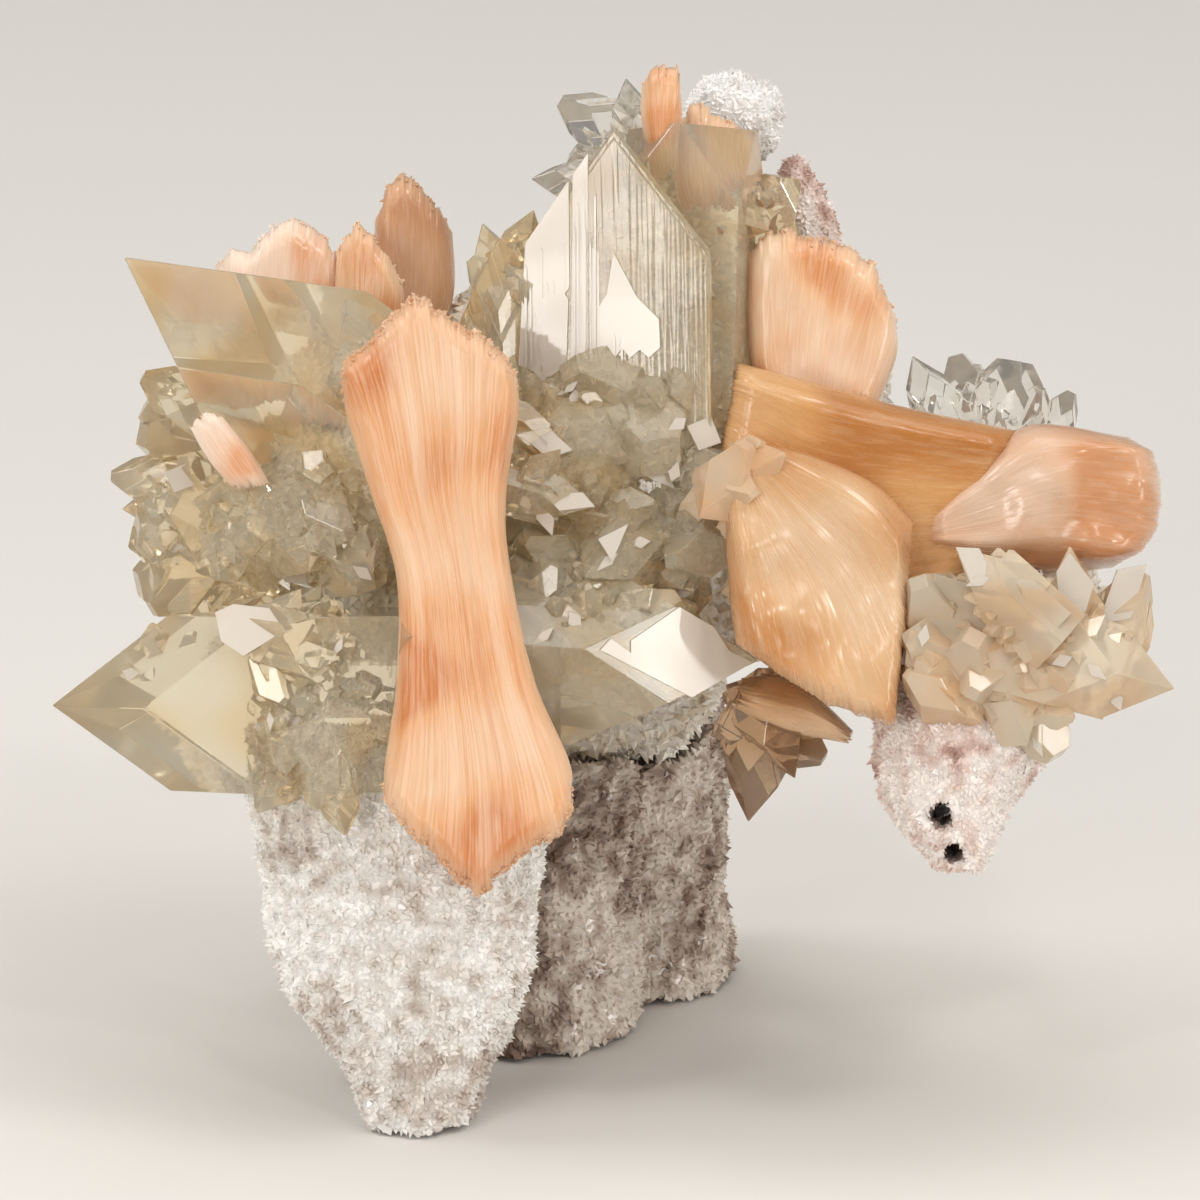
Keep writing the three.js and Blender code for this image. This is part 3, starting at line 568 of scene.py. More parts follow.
def sheaf(
    stations, d, thick, turn, tip, seed, columns, rows, relief, ragged=0.9, lumps=0.0, crust=0.12, waist=0.0
):
    """A bundle as a closed mesh, with its fibre coordinates. Lengths are in millimetres."""
    rng = np.random.default_rng(seed)
    lines = np.stack([resampled(line, columns + 1) for line in stations])
    width = np.linalg.norm(np.diff(lines, axis=1), axis=2).sum(1).mean()
    u = np.linspace(0, 1, columns + 1)
    v = np.linspace(0, 1, rows + 1)
    coarse, coarse_edge = laths(u * width, 1.3, rng)
    fine, fine_edge = laths(u * width, 0.36, rng)
    spare = rng.uniform(0, 0.7, (2, 400))[:, coarse] + rng.uniform(0, 0.5, (2, 800))[:, fine]
    length = np.linalg.norm(np.diff(lines[:, columns // 2], axis=0), axis=1).sum()
    start, end = spare[0] * ragged / length, 1 - spare[1] * ragged / length
    flat = np.stack([through(lines, row) for row in start + (end - start) * v[:, None]])
    steps = np.linalg.norm(np.diff(flat, axis=0), axis=2)
    run = np.concatenate([np.zeros((1, columns + 1)), np.cumsum(steps, 0)])
    to_end = np.minimum(run, run[-1] - run)
    to_side = np.minimum(u, 1 - u) * width

    def swell(gap, reach):
        return np.sqrt(np.clip(1 - (1 - np.clip(gap / reach, 0, 1)) ** 2, 0, 1))

    round_end = min(2.6, thick / 2)
    body = swell(to_side, round_end) * swell(to_end + 0.1 * round_end, 1.1 * round_end)
    body[0], body[-1] = 0, 0

    def wander(count, turns):
        """A slow wave along each lath."""
        waves_of = rng.uniform(*turns, count), rng.uniform(0, math.tau, count)
        return lambda k: np.sin(v[:, None] * waves_of[0][k] + waves_of[1][k])

    coarse_height = rng.uniform(-1, 1, 400)[coarse] * (0.6 + 0.4 * wander(400, (3, 9))(coarse))
    fine_height = rng.uniform(-1, 1, 800)[fine] * (0.55 + 0.45 * wander(800, (5, 22))(fine))
    rise = relief * coarse_height * np.clip(coarse_edge * 3, 0, 1)
    rise = rise + 0.3 * relief * fine_height * np.clip(fine_edge * 2.5, 0, 1)
    rise = rise - 0.12 * relief * (fine_edge < 0.3)
    middle = lines.reshape(-1, 2).mean(0)
    swing = math.tan(math.radians(turn)) * (flat[..., 0] - middle[0])
    nod = math.tan(math.radians(tip)) * (flat[..., 1] - middle[1])
    sides = []
    for side in (-1, 1):
        half = thick / 2 * (1 - waist * (1 - np.abs(2 * v - 1)[:, None] ** 1.5))
        depth = d + swing - nod + side * body * (half + (rise if side < 0 else rise[:, ::-1]))
        points = np.stack([flat[..., 0], depth, flat[..., 1]], 2).reshape(-1, 3)
        points[:, 1] += side * lumps * waves(points, 8, seed, 2) * body.ravel()
        sides.append(points)
    count = (rows + 1) * (columns + 1)
    grid = np.arange(count).reshape(rows + 1, columns + 1)
    quads = np.stack([grid[:-1, :-1], grid[:-1, 1:], grid[1:, 1:], grid[1:, :-1]], 2).reshape(-1, 4)
    mesh = bpy.data.meshes.new("sheaf")
    faces = [*quads.tolist(), *(quads[:, ::-1] + count).tolist()]
    mesh.from_pydata(placed(np.concatenate(sides)).tolist(), [], faces)
    keep(mesh, "rim", np.tile(np.clip(1 - np.minimum(to_end, to_side * 1.8) / 2.2, 0, 1).ravel(), 2))
    keep(mesh, "crowd", np.tile((crust * np.clip(1 - to_end / 1.3, 0, 1)).ravel(), 2))
    lath_tone = rng.uniform(0, 0.6, 400)[coarse] + rng.uniform(0, 0.4, 800)[fine]
    keep(mesh, "lath", np.tile(np.broadcast_to(lath_tone, run.shape).ravel(), 2))
    spots = np.tile(np.stack([np.broadcast_to(u * width, run.shape), run], 2).reshape(-1, 2), (2, 1))
    corner_points = np.empty(len(mesh.loops), int)
    mesh.loops.foreach_get("vertex_index", corner_points)
    mesh.uv_layers.new(name="fibre").data.foreach_set("uv", spots[corner_points].ravel())
    return mesh


def bundle(name, meshes):
    """Sheaves as one object, each closed along its seams."""
    form = bmesh.new()
    for mesh in meshes:
        form.from_mesh(mesh)
    bmesh.ops.remove_doubles(form, verts=form.verts, dist=1e-6)
    bmesh.ops.dissolve_degenerate(form, dist=1e-7, edges=form.edges)
    bmesh.ops.recalc_face_normals(form, faces=form.faces)
    mesh = as_mesh(form, name)
    mesh.polygons.foreach_set("use_smooth", np.ones(len(mesh.polygons), bool))
    return as_object(mesh, name)


def fibre_group():
    """Silky fibres: deep and warm colours in soft clouds, paler bands, threads, near-white dashes of painted
    glint, cream rims.
    """
    numbers = ("Clouds", "Bands", "Silk", "Dashes", "Rough")
    outputs = ("Colour", "Roughness")
    tree, inlet, outlet = shader_group("fibres", ("Deep", "Warm", "Cream"), numbers, outputs)
    place = node(tree, "ShaderNodeTexCoord").outputs["Object"]
    fibre = node(tree, "ShaderNodeUVMap", uv_map="fibre").outputs["UV"]

    def stretched(vector, across, along, detail):
        scaled = {"Vector": vector, "Scale": (across, along, 1)}
        return noise(tree, node(tree, "ShaderNodeMapping", scaled).outputs[0], 1.0, detail, 0.62, flat=True)

    wide = node(tree, "ShaderNodeVectorMath", {"Vector": fibre, "Scale": inlet["Bands"]}, operation="SCALE")
    streaks = stretched(wide.outputs[0], 1, 0.08, 2)
    threads = stretched(fibre, 5, 0.3, 0)
    glint_dashes = stretched(fibre, 5.5, 0.22, 1)
    clouds = noise(tree, place, inlet["Clouds"], 1, 0.5)
    light = mixed(tree, 0.4, inlet["Warm"], inlet["Cream"])
    colour = mixed(tree, spread(tree, clouds, 0.38, 0.5), inlet["Deep"], inlet["Warm"])
    colour = mixed(tree, spread(tree, clouds, 0.5, 0.66), colour, light)
    pale = product(tree, spread(tree, streaks, 0.5, 0.8, 0.0, 0.6), inlet["Silk"])
    colour = mixed(tree, pale, colour, inlet["Cream"])
    dark = product(tree, spread(tree, streaks, 0.42, 0.25, 0.0, 0.6), inlet["Silk"])
    colour = mixed(tree, dark, colour, inlet["Deep"])
    bright = product(tree, spread(tree, threads, 0.5, 0.85, 0.0, 0.4), inlet["Silk"])
    colour = mixed(tree, bright, colour, inlet["Cream"])
    # painted highlight: near-white dashes along the fibres stand in for glints
    glint = product(tree, spread(tree, glint_dashes, 0.62, 0.72), inlet["Dashes"])
    colour = mixed(tree, glint, colour, (0.98, 0.86, 0.70, 1))
    rim = product(tree, spread(tree, stored(tree, "rim"), 0.1, 1, 0, 0.8), inlet["Silk"])
    colour = mixed(tree, rim, colour, mixed(tree, threads, inlet["Cream"], inlet["Warm"]))
    tree.links.new(colour, outlet["Colour"])
    wobble = spread(tree, threads, 0.3, 0.7, -0.08, 0.08)
    rough = node(tree, "ShaderNodeMath", {"Value": inlet["Rough"], "Value_001": wobble}, operation="ADD")
    tree.links.new(rough.outputs[0], outlet["Roughness"])
    return tree


FIBRES = fibre_group()


def stilbite(name, deep, warm, cream, cloud=0.012, bands=0.35, silk=1.0, glint_dashes=0.0, rough=0.34, **plain):
    """Stilbite of the given colours, clouded over the given size in metres."""
    values = {
        "Deep": deep, "Warm": warm, "Cream": cream, "Clouds": 1 / cloud,
        "Bands": bands, "Silk": silk, "Dashes": glint_dashes, "Rough": rough,
    }
    soft = {"Subsurface_Weight": 0.18, "Subsurface_Scale": 0.003, "Subsurface_Radius": (1.0, 0.55, 0.3)}
    return material(name, FIBRES, values, IOR=1.5, **{**soft, **plain})[0]


CLEAR_PART = {"Transmission_Weight": 0.22, "Subsurface_Weight": 0.0}
PEACH = stilbite("stilbite_peach", (0.62, 0.23, 0.08), (0.76, 0.39, 0.185), (0.87, 0.67, 0.49), silk=0.8)
PALE = stilbite(
    "stilbite_pale", (0.70, 0.30, 0.12), (0.81, 0.49, 0.28), (0.91, 0.75, 0.60), 0.009, 0.35, 0.6, 0.1, 0.26,
)
GOLD = stilbite(
    "stilbite_gold", (0.58, 0.23, 0.06), (0.80, 0.41, 0.15), (0.90, 0.62, 0.36),
    0.018, 0.6, 0.42, 0.08, 0.24, **CLEAR_PART,
)
ROSY = stilbite(
    "stilbite_rosy", (0.72, 0.34, 0.16), (0.85, 0.53, 0.34), (0.94, 0.78, 0.64),
    0.011, 0.6, 0.35, 0.08, 0.2, **CLEAR_PART,
)
AMBER = stilbite(
    "stilbite_amber", (0.68, 0.31, 0.11), (0.85, 0.51, 0.26), (0.94, 0.75, 0.54),
    0.012, 0.7, 0.4, 0.08, 0.22, **CLEAR_PART,
)
BROWN = stilbite(
    "stilbite_brown", (0.50, 0.22, 0.11), (0.64, 0.35, 0.19), (0.76, 0.53, 0.37), 0.012, 0.3, 0.6, 0.1, 0.26,
)
PINK = stilbite(
    "stilbite_pink", (0.76, 0.38, 0.20), (0.85, 0.59, 0.42), (0.93, 0.84, 0.76), 0.008, 0.35, 0.5, 0.1, 0.26,
)

lath_ends = shape_box(
    "lath_end", [spike("lath_end", 4, 0.5, 0.5, 0.42), spike("lath_point", 4, 0.45, 0.7, 0.1)]
)

# name, finish, fineness (columns, rows), then for each sheaf: stations and its other values
SHEAVES = (
    (
        "stilbite_bowtie", PEACH, (240, 160),
        ([
            [
                (-21.2, 35.3), (-21, 33.8), (-18, 30), (-14.5, 26.3), (-11.8, 24.4), (-8.8, 27), (-6, 29.3),
                (-4, 30.2), (-2.8, 33), (-2.8, 34.9),
            ],
            [(-21.1, 38), (-12, 36.5), (-3, 38)],
            [(-20, 46), (-13, 45.5), (-6.4, 46)],
            [(-20, 56), (-14.4, 56), (-8.8, 57)],
            [(-22.6, 64.5), (-16, 64.5), (-9.2, 64)],
            [(-24.8, 71.5), (-17, 72), (-8, 72)],
            [
                (-25.2, 74.5), (-25.2, 77.4), (-23, 79.3), (-20, 82.6), (-18.2, 84.2), (-15, 82.1),
                (-11, 79.8), (-9.2, 77.8), (-8.1, 75.5),
            ],
        ], dict(d=-12.5, thick=8, turn=-6, tip=0, relief=0.12, crust=0.5, waist=0.3)),
    ),
    (
        "stilbite_sheaf", GOLD, (150, 100),
        ([
            [(13.5, 77.4), (12, 70), (10.8, 61)],
            [(22, 75.2), (21, 66), (18, 52)],
            [(31, 72.8), (30, 65), (27, 53)],
            [(41.6, 70.6), (39.6, 65), (36, 55)],
        ], dict(d=2.6, thick=10.5, turn=2, tip=6, relief=0.06, lumps=0.3, crust=0, ragged=0.25)),
    ),
    (
        "stilbite_fan", ROSY, (130, 90),
        ([
            [(31.8, 61.4), (31.7, 60.4), (31.8, 59.4)],
            [(37.4, 67), (38.6, 62.4), (38.6, 57.6)],
            [(42.8, 71.2), (46.4, 65.4), (46, 56.6)],
            [(52.6, 70), (55.2, 68.6), (55.9, 66.4), (56.1, 63.4), (55.5, 60.6), (54, 58.6), (51, 57)],
        ], dict(d=3.4, thick=12, turn=4, tip=4, relief=0.045, lumps=1.1, crust=0, ragged=0.2)),
    ),
    (
        "stilbite_wedge", AMBER, (170, 90),
        ([
            [(15, 69.4), (13.6, 68.8), (12.6, 67.6)],
            [(21, 68), (18.8, 62), (12.4, 60)],
            [(27, 65.4), (24.6, 55), (12.8, 53.6)],
            [(31.2, 61.4), (30.4, 51), (29.2, 41), (22.5, 43), (17.4, 46.4), (13.4, 49.4)],
        ], dict(d=-5, thick=9, turn=12, tip=-8, relief=0.05, lumps=0.9, crust=0, ragged=0.5)),
    ),
    (
        "stilbite_upper_right", PALE, (140, 80),
        ([
            [(16, 72.2), (21, 72), (27, 71.4)],
            [(14.6, 80), (21, 80), (29.6, 78)],
            [(14.6, 88.8), (16, 90.4), (20, 91.4), (25, 89.6), (27.4, 87.8), (29, 84), (29.6, 81.5)],
        ], dict(d=9, thick=8, turn=5, tip=0, relief=0.08, lumps=0.4)),
    ),
    (
        "stilbite_back_left", BROWN, (110, 80),
        ([
            [(-20.6, 78.2), (-18.6, 78.2), (-16.4, 78.2)],
            [(-22.6, 86), (-18.6, 86), (-14.7, 85)],
            [(-22.7, 92.4), (-21.4, 95.8), (-19.9, 97.4), (-18.4, 96.8), (-16, 93.4), (-14.9, 91.2)],
        ], dict(d=19, thick=6, turn=12, tip=-4, relief=0.03, crust=0.1)),
    ),
    (
        "stilbite_left_middle", PALE, (100, 70),
        ([
            [(-25.2, 76.2), (-23.4, 76.2), (-21.6, 76.2)],
            [(-26.6, 83), (-23, 83), (-19.7, 82.6)],
            [(-26.3, 89.8), (-24.3, 92.3), (-22.6, 90.8), (-19.8, 86)],
        ], dict(d=12, thick=5, turn=-10, tip=-3, relief=0.07)),
    ),
    (
        "stilbite_left", PINK, (110, 70),
        ([
            [(-36, 77.2), (-31, 77.6), (-26.2, 78.2)],
            [(-38.4, 83), (-32, 83.5), (-25.6, 84)],
            [
                (-38.6, 87.8), (-37, 89.2), (-35, 89.2), (-32.2, 92.6), (-30.8, 93),
                (-27.2, 90.2), (-25.6, 87.2),
            ],
        ], dict(d=14, thick=6, turn=8, tip=-8, relief=0.08)),
    ),
    (
        "stilbite_top", PALE, (80, 60),
        ([
            [(5.6, 95.2), (6.6, 95.4), (7.8, 96.2)],
            [(4.2, 101), (6.2, 101), (8.2, 101.4)],
            [(4.1, 105), (5, 107), (6.4, 108.1), (7.9, 108.1), (8, 105.4)],
        ], dict(d=8, thick=4.4, turn=-12, tip=-4, relief=0.05)),
    ),
    (
        "stilbite_top_right", PALE, (100, 60),
        ([
            [(9, 92.2), (12, 92.2), (15, 92.2)],
            [(7.6, 97), (11.6, 97), (15.6, 95.8)],
            [(7.8, 101.8), (9, 103.9), (10.4, 103.8), (13.6, 102.2), (14.4, 100.2), (15.4, 98)],
        ], dict(d=13, thick=5, turn=6, tip=-6, relief=0.07)),
    ),
    (
        "stilbite_small", PINK, (100, 60),
        ([
            [(-36, 64.6), (-34, 64.6), (-32.2, 64.7)],
            [(-38.6, 67.6), (-36.6, 68.2), (-34.4, 68.4)],
            [(-40.6, 71.2), (-39.8, 72.4), (-37.6, 72.4)],
        ], dict(d=-8, thick=3, turn=10, tip=10, relief=0.12)),
    ),
    (
        "stilbite_under", AMBER, (100, 80),
        ([
            [(13.2, 43.2), (13.2, 44.6), (13.4, 46)],
            [(18, 40.8), (18, 43.4), (17.8, 46.2)],
            [(22, 40), (21.6, 42), (21, 44.8)],
            [(25.2, 39.4), (25.6, 39.8), (26, 40)],
        ], dict(d=5, thick=6, turn=10, tip=-10, relief=0.03, crust=0)),
    ),
)
for order, (name, finish, (columns, rows), *parts) in enumerate(SHEAVES):
    meshes = [
        sheaf(stations, seed=100 + 20 * k + order, columns=columns, rows=rows, **values)
        for k, (stations, values) in enumerate(parts)
    ]
    made = grown(
        bundle(name + "_fibres", meshes),
        name + "_laths", COAT, Shapes=lath_ends, Finish=finish,
        Spacing=0.34, Smallest=0.2, Largest=0.62, Lean=0.35, Seed=50 + order,
    )
    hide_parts("stilbite_sheaf" if name == "stilbite_fan" else name)
    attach(made, "root")

# ---------------------------------------------------------------------------------------------
# Apophyllite. Square prisms closed by a four-sided pyramid over their edges, some cut off square
# by a flat end, with smaller ones parallel to them. The crystals of a group grew together, and
# small ones cover the hollows between them.
FACE_SLOPE = 1.33  # rise of a pyramid face for each unit along the prism's side


def crystal_frame(tip, bearing, toward, spin):
    """Local Z along the crystal to its tip, local X as near the front as that allows, then spun."""
    bearing, toward, spin = (math.radians(a) for a in (bearing, toward, spin))
    level = math.cos(toward)
    axis = Vector((level * math.cos(bearing), -math.sin(toward), level * math.sin(bearing)))
    front = Vector((0, -1, 0)) if abs(axis.y) < 0.98 else Vector((0, 0, 1))
    front = (front - axis * front.dot(axis)).normalized()
    x = front * math.cos(spin) + axis.cross(front) * math.sin(spin)
    place = Matrix((x, axis.cross(x), axis)).transposed().to_4x4()
    place.translation = Vector(tip)
    return place


def crystal_form(half, across, length, blunt, wear):
    """One crystal about local Z, with its tip at the origin, its edges a little worn."""
    top = -blunt
    levels = {top, -FACE_SLOPE * half, -FACE_SLOPE * across, -FACE_SLOPE * (half + across), -length}
    form = bmesh.new()
    for z in (z for z in levels if -length <= z <= top):
        reach = -z / FACE_SLOPE
        for x, y in (
            (min(half, reach), max(0, min(across, reach - half))),
            (max(0, min(half, reach - across)), min(across, reach)),
        ):
            for sign_x in (-1, 1):
                for sign_y in (-1, 1):
                    form.verts.new((sign_x * x, sign_y * y, z))
    bmesh.ops.remove_doubles(form, verts=form.verts, dist=1e-4)
    hull = bmesh.ops.convex_hull(form, input=form.verts)
    bmesh.ops.delete(form, geom=list({*hull["geom_interior"], *hull["geom_unused"]}), context="VERTS")
    bmesh.ops.dissolve_limit(form, angle_limit=math.radians(1), verts=form.verts, edges=form.edges)
    if wear:
        bmesh.ops.bevel(
            form, geom=form.edges[:], offset=wear, segments=1, profile=0.5, affect="EDGES", clamp_overlap=True
        )
    return form


def crystal_mesh(form, place, tone):
    """Gives a form its growth coordinates, in millimetres along and across it, and its place."""
    bmesh.ops.recalc_face_normals(form, faces=form.faces)
    growth = form.loops.layers.uv.new("growth")
    prism = form.faces.layers.float.new("prism")
    shade = form.faces.layers.float.new("tone")
    for face in form.faces:
        level = Vector((-face.normal.y, face.normal.x, 0))
        level = level.normalized() if level.length > 0.01 else Vector((1, 0, 0))
        up = face.normal.cross(level)
        face[prism] = 1.0 if abs(face.normal.z) < 0.08 else 0.15
        face[shade] = 0.55 * tone + 0.45 * ((0.37 * face.index + tone) % 1)
        for loop in face.loops:
            loop[growth].uv = (loop.vert.co.dot(level) + 17 * tone, loop.vert.co.dot(up))
    form.transform(place)
    return as_mesh(form, "crystal")


def crystal(row, wear, tone):
    """One crystal in its place."""
    *tip, bearing, toward, spin, half, across, length, blunt = row
    place = TO_WORLD @ crystal_frame(tip, bearing, toward, spin)
    return crystal_mesh(crystal_form(half, across, length, blunt, wear), place, tone)


def satellites(row, count, rng):
    """Smaller crystals parallel to one, out of its sides."""
    *tip, bearing, toward, spin, half, across, length, blunt = row
    place = crystal_frame(tip, bearing, toward, spin)
    for _ in range(count):
        angle = rng.uniform(0, math.tau)
        small = half * rng.uniform(0.3, 0.62)
        down = half * rng.uniform(0.6, 2.4) + blunt
        spot = place @ Vector((0.8 * half * math.cos(angle), 0.8 * across * math.sin(angle), -down))
        turn = spin + rng.choice((0, 0, 45))
        end = small * rng.choice((0, 0.6, 1.1))
        yield (*spot, bearing, toward, turn, small, small * rng.uniform(0.8, 1.2), length * 0.5, end)


def plate(row, facing, outline, lift, tilt=0.0):
    """A thin layer on a crystal's face. Its outline is seen from the front, in x and h."""
    *tip, bearing, toward, spin, half, across, length, blunt = row
    place = crystal_frame(tip, bearing, toward, spin)
    normal = (place.to_3x3() @ Vector(facing)).normalized()
    foot = place @ Vector((half if facing[2] == 0 else 0, 0, 0))
    left = min(x for x, _ in outline)
    form = bmesh.new()
    rings = []
    for sunk in (True, False):
        ring = []
        for x, h in outline:
            d = foot.y - (normal.x * (x - foot.x) + normal.z * (h - foot.z)) / normal.y
            rise = -0.3 if sunk else lift + tilt * (x - left)
            ring.append(form.verts.new(place.inverted() @ (Vector((x, d, h)) + normal * rise)))
        form.faces.new(ring)
        rings.append(ring)
    for i in range(len(outline)):
        j = (i + 1) % len(outline)
        form.faces.new((rings[0][i], rings[0][j], rings[1][j], rings[1][i]))
    return crystal_mesh(form, TO_WORLD @ place, 0.5)


def slab(outline, d, turn, nod, thick=3.5):
    """A flat pearly crystal face with its body behind. Its outline is seen from the front."""
    left, low = outline[0]
    form = bmesh.new()
    rings = []
    for behind in (0, thick):
        spots = ((x, d + turn * (x - left) + nod * (h - low) + behind, h) for x, h in outline)
        rings.append([form.verts.new(spot) for spot in spots])
        form.faces.new(rings[-1])
    for i in range(len(outline)):
        j = (i + 1) % len(outline)
        form.faces.new((rings[0][i], rings[0][j], rings[1][j], rings[1][i]))
    return crystal_mesh(form, TO_WORLD, 0.9)


def joined_tree():
    """Joins crystals, and small ones scattered over a surface, into one solid."""
    extra = (("Crystals", "NodeSocketCollection"), ("Finish", "NodeSocketMaterial"))
    tree, inlet = geometry_tree("joined", SCATTER_INPUTS + extra)
    shapes = {"Collection": inlet["Crystals"], "Separate Children": True}
    large = node(tree, "GeometryNodeCollectionInfo", shapes).outputs[0]
    union = tree.nodes.new("GeometryNodeMeshBoolean")
    union.operation = "UNION"
    union.solver = "MANIFOLD"
    tree.links.new(large, union.inputs["Mesh 2"])
    tree.links.new(scattered(tree, inlet), union.inputs["Mesh 2"])
    coloured = {"Geometry": union.outputs[0], "Material": inlet["Finish"]}
    coloured = node(tree, "GeometryNodeSetMaterial", coloured)
    tree.links.new(coloured.outputs[0], tree.nodes.new("NodeGroupOutput").inputs[0])
    return tree


JOINED = joined_tree()


def small_crystal(name, across, length, blunt):
    """A unit crystal that stands on the surface where it grew."""
    place = Matrix.Translation((0, 0, length * 0.55))
    return crystal_mesh(crystal_form(1, across, length, blunt, 0), place, 0.5)


small_crystals = shape_box(
    "small_crystal",
    [
        small_crystal("pointed", 1, 3.2, 0),
        small_crystal("pointed_wide", 1.3, 3, 0.4),
        small_crystal("cut_off", 1.1, 2.6, 0.9),
        small_crystal("blocky", 1.0, 2.4, 1.3),
    ],
)


POLISHED = 0.012  # the roughness of the clearest faces


def growth_group():
    """Clear to milky crystal: clouds, each crystal its own shade, and fine lines along the prism."""
    outputs = ("Colour", "Roughness", "Height")
    tree, inlet, outlet = shader_group("growth", ("Milk", "Pure"), ("Frost",), outputs)
    place = node(tree, "ShaderNodeTexCoord").outputs["Object"]
    growth = node(tree, "ShaderNodeUVMap", uv_map="growth").outputs["UV"]
    lines = node(tree, "ShaderNodeMapping", {"Vector": growth, "Scale": (2.0, 0.06, 1)}).outputs[0]
    striae = noise(tree, lines, 1.0, 1, 0.65, flat=True)
    clouds = noise(tree, place, 150, 0)
    tone = stored(tree, "tone")
    veil = product(tree, spread(tree, clouds, 0.62, 0.40), spread(tree, tone, 1.0, 0.2, 0.15, 1.0))
    tree.links.new(mixed(tree, veil, inlet["Pure"], inlet["Milk"]), outlet["Colour"])
    tree.links.new(spread(tree, clouds, 0.7, 0.4, POLISHED, inlet["Frost"]), outlet["Roughness"])
    tree.links.new(product(tree, striae, stored(tree, "prism")), outlet["Height"])
    return tree


GROWTH = growth_group()


def apophyllite(name, clear, milk, pure, tint=None, density=0, frost=0.08):
    """Apophyllite as clear as given. Its milk colours it, or the tint in the depth of clear crystal."""
    values = {"Milk": milk, "Pure": pure, "Frost": frost}
    made, tree, effect = material(name, GROWTH, values, Transmission_Weight=clear, IOR=1.535)
    lines = {"Strength": 0.07, "Distance": 0.00008, "Height": effect.outputs["Height"]}
    bump = node(tree, "ShaderNodeBump", lines)
    tree.links.new(bump.outputs[0], tree.nodes["Principled BSDF"].inputs["Normal"])
    if tint:
        inside = node(tree, "ShaderNodeVolumeAbsorption", {"Color": (*tint, 1), "Density": density})
        tree.links.new(inside.outputs[0], tree.nodes["Material Output"].inputs["Volume"])
    return made


MILKY = apophyllite("apophyllite_milky", 0.75, (0.91, 0.71, 0.42), (0.99, 0.91, 0.72))
HONEY = apophyllite("apophyllite_honey", 0.52, (0.97, 0.68, 0.41), (0.99, 0.87, 0.68))
CLEAR = apophyllite(
    "apophyllite_clear", 0.88, (0.94, 0.91, 0.86), (0.985, 0.975, 0.95), (0.93, 0.89, 0.80), 40, 0.04
)
SMOKY = apophyllite(
    "apophyllite_smoky", 0.8, (0.66, 0.44, 0.26), (0.86, 0.70, 0.50), (0.74, 0.50, 0.30), 90, 0.05
)
GOLDEN = apophyllite("apophyllite_golden", 0.45, (0.97, 0.62, 0.34), (0.99, 0.80, 0.58), frost=0.04)
# milky and less clear than the rest: the pearly lustre of basal faces, and in part painted highlight where
# faces flash with light
PEARL_AND_GLINT = apophyllite("apophyllite_pearl_and_glint", 0.3, (0.72, 0.63, 0.53), (0.88, 0.80, 0.70), frost=0.2)

# Crystal rows: tip x, d, h, bearing, toward, spin, half, across, length, blunt
MAIN_ROWS = [
    # the tall crystal, its striated face to the front, and what stands beside it
    (1.5, 0.6, 100.7, 91, 0, -10, 0.9, 9.3, 38, 0),
    (1.6, 9, 100.4, 91, -2, -10, 8, 8.6, 40, 0),
    (9.6, 12, 110, 88, -4, -14, 6.6, 6.6, 42, 9.2),
    (-9.4, 6, 91.4, 96, 4, 30, 4.4, 4.4, 26, 1.5),
    (-6.6, 8, 92.8, 72, 0, 15, 2.2, 2.2, 18, 0),
    (-11.8, 12, 91.6, 108, 0, 35, 2, 2, 16, 0),
    (18.6, 12, 98.6, 80, 6, 0, 2.1, 2.1, 16, 2.4),
    # the wide crystal at the foot, one broad pyramid face to the front
    (15.7, -3, 47.8, -4, -4, 45, 6.8, 6.8, 36, 0),
    (4, -2, 42, -38, 10, 30, 4.6, 4.6, 20, 1.4),
    # crystals over the middle
    (-2.7, -5.8, 68.6, -15, -4, 45, 2.3, 2.3, 11, 0),
    (-0.5, -6.8, 63, -14, -6, 45, 2.2, 2.2, 11, 0),
    (-4.4, -4, 77.5, 150, 42, 10, 4.6, 4.6, 20, 2.2),
    (3.4, -5, 74.4, 60, 62, 35, 4.4, 4.4, 18, 3.4),
    (10.4, -4.4, 73, 40, 50, 15, 4.6, 4.6, 18, 4.2),
    (14, -5, 67, 10, 55, 30, 3.4, 3.4, 16, 1.2),
    (7, -7, 66.4, -60, 60, 20, 4.4, 4.4, 18, 3.6),
    (-6, -8.6, 65.6, 180, 62, 20, 4.4, 4.4, 15, 1.4),
    (12.6, -6, 59.6, 20, 60, 10, 3.8, 3.8, 16, 2.6),
    (6.4, -8.4, 57.4, 200, 60, 30, 3.4, 3.4, 14, 1.4),
    (-1.6, -9.6, 56, 215, 50, 25, 3.2, 3.2, 14, 0),
    (-5.6, -7.6, 70.8, 170, 55, 25, 3.6, 3.6, 16, 1.2),
    (3.4, -10.6, 55, 120, 55, 10, 3.4, 3.4, 12, 2),
    (11.6, -6.4, 50.4, 20, 40, 20, 2.8, 2.8, 12, 1),
    (-13, -7, 52, 200, 50, 20, 3.4, 3.4, 12, 1.8),
    (-8, -9, 60, 160, 60, 35, 3, 3, 12, 1),
    (2.4, -8, 61.6, 40, 65, 15, 3.6, 3.6, 12, 1.6),
]
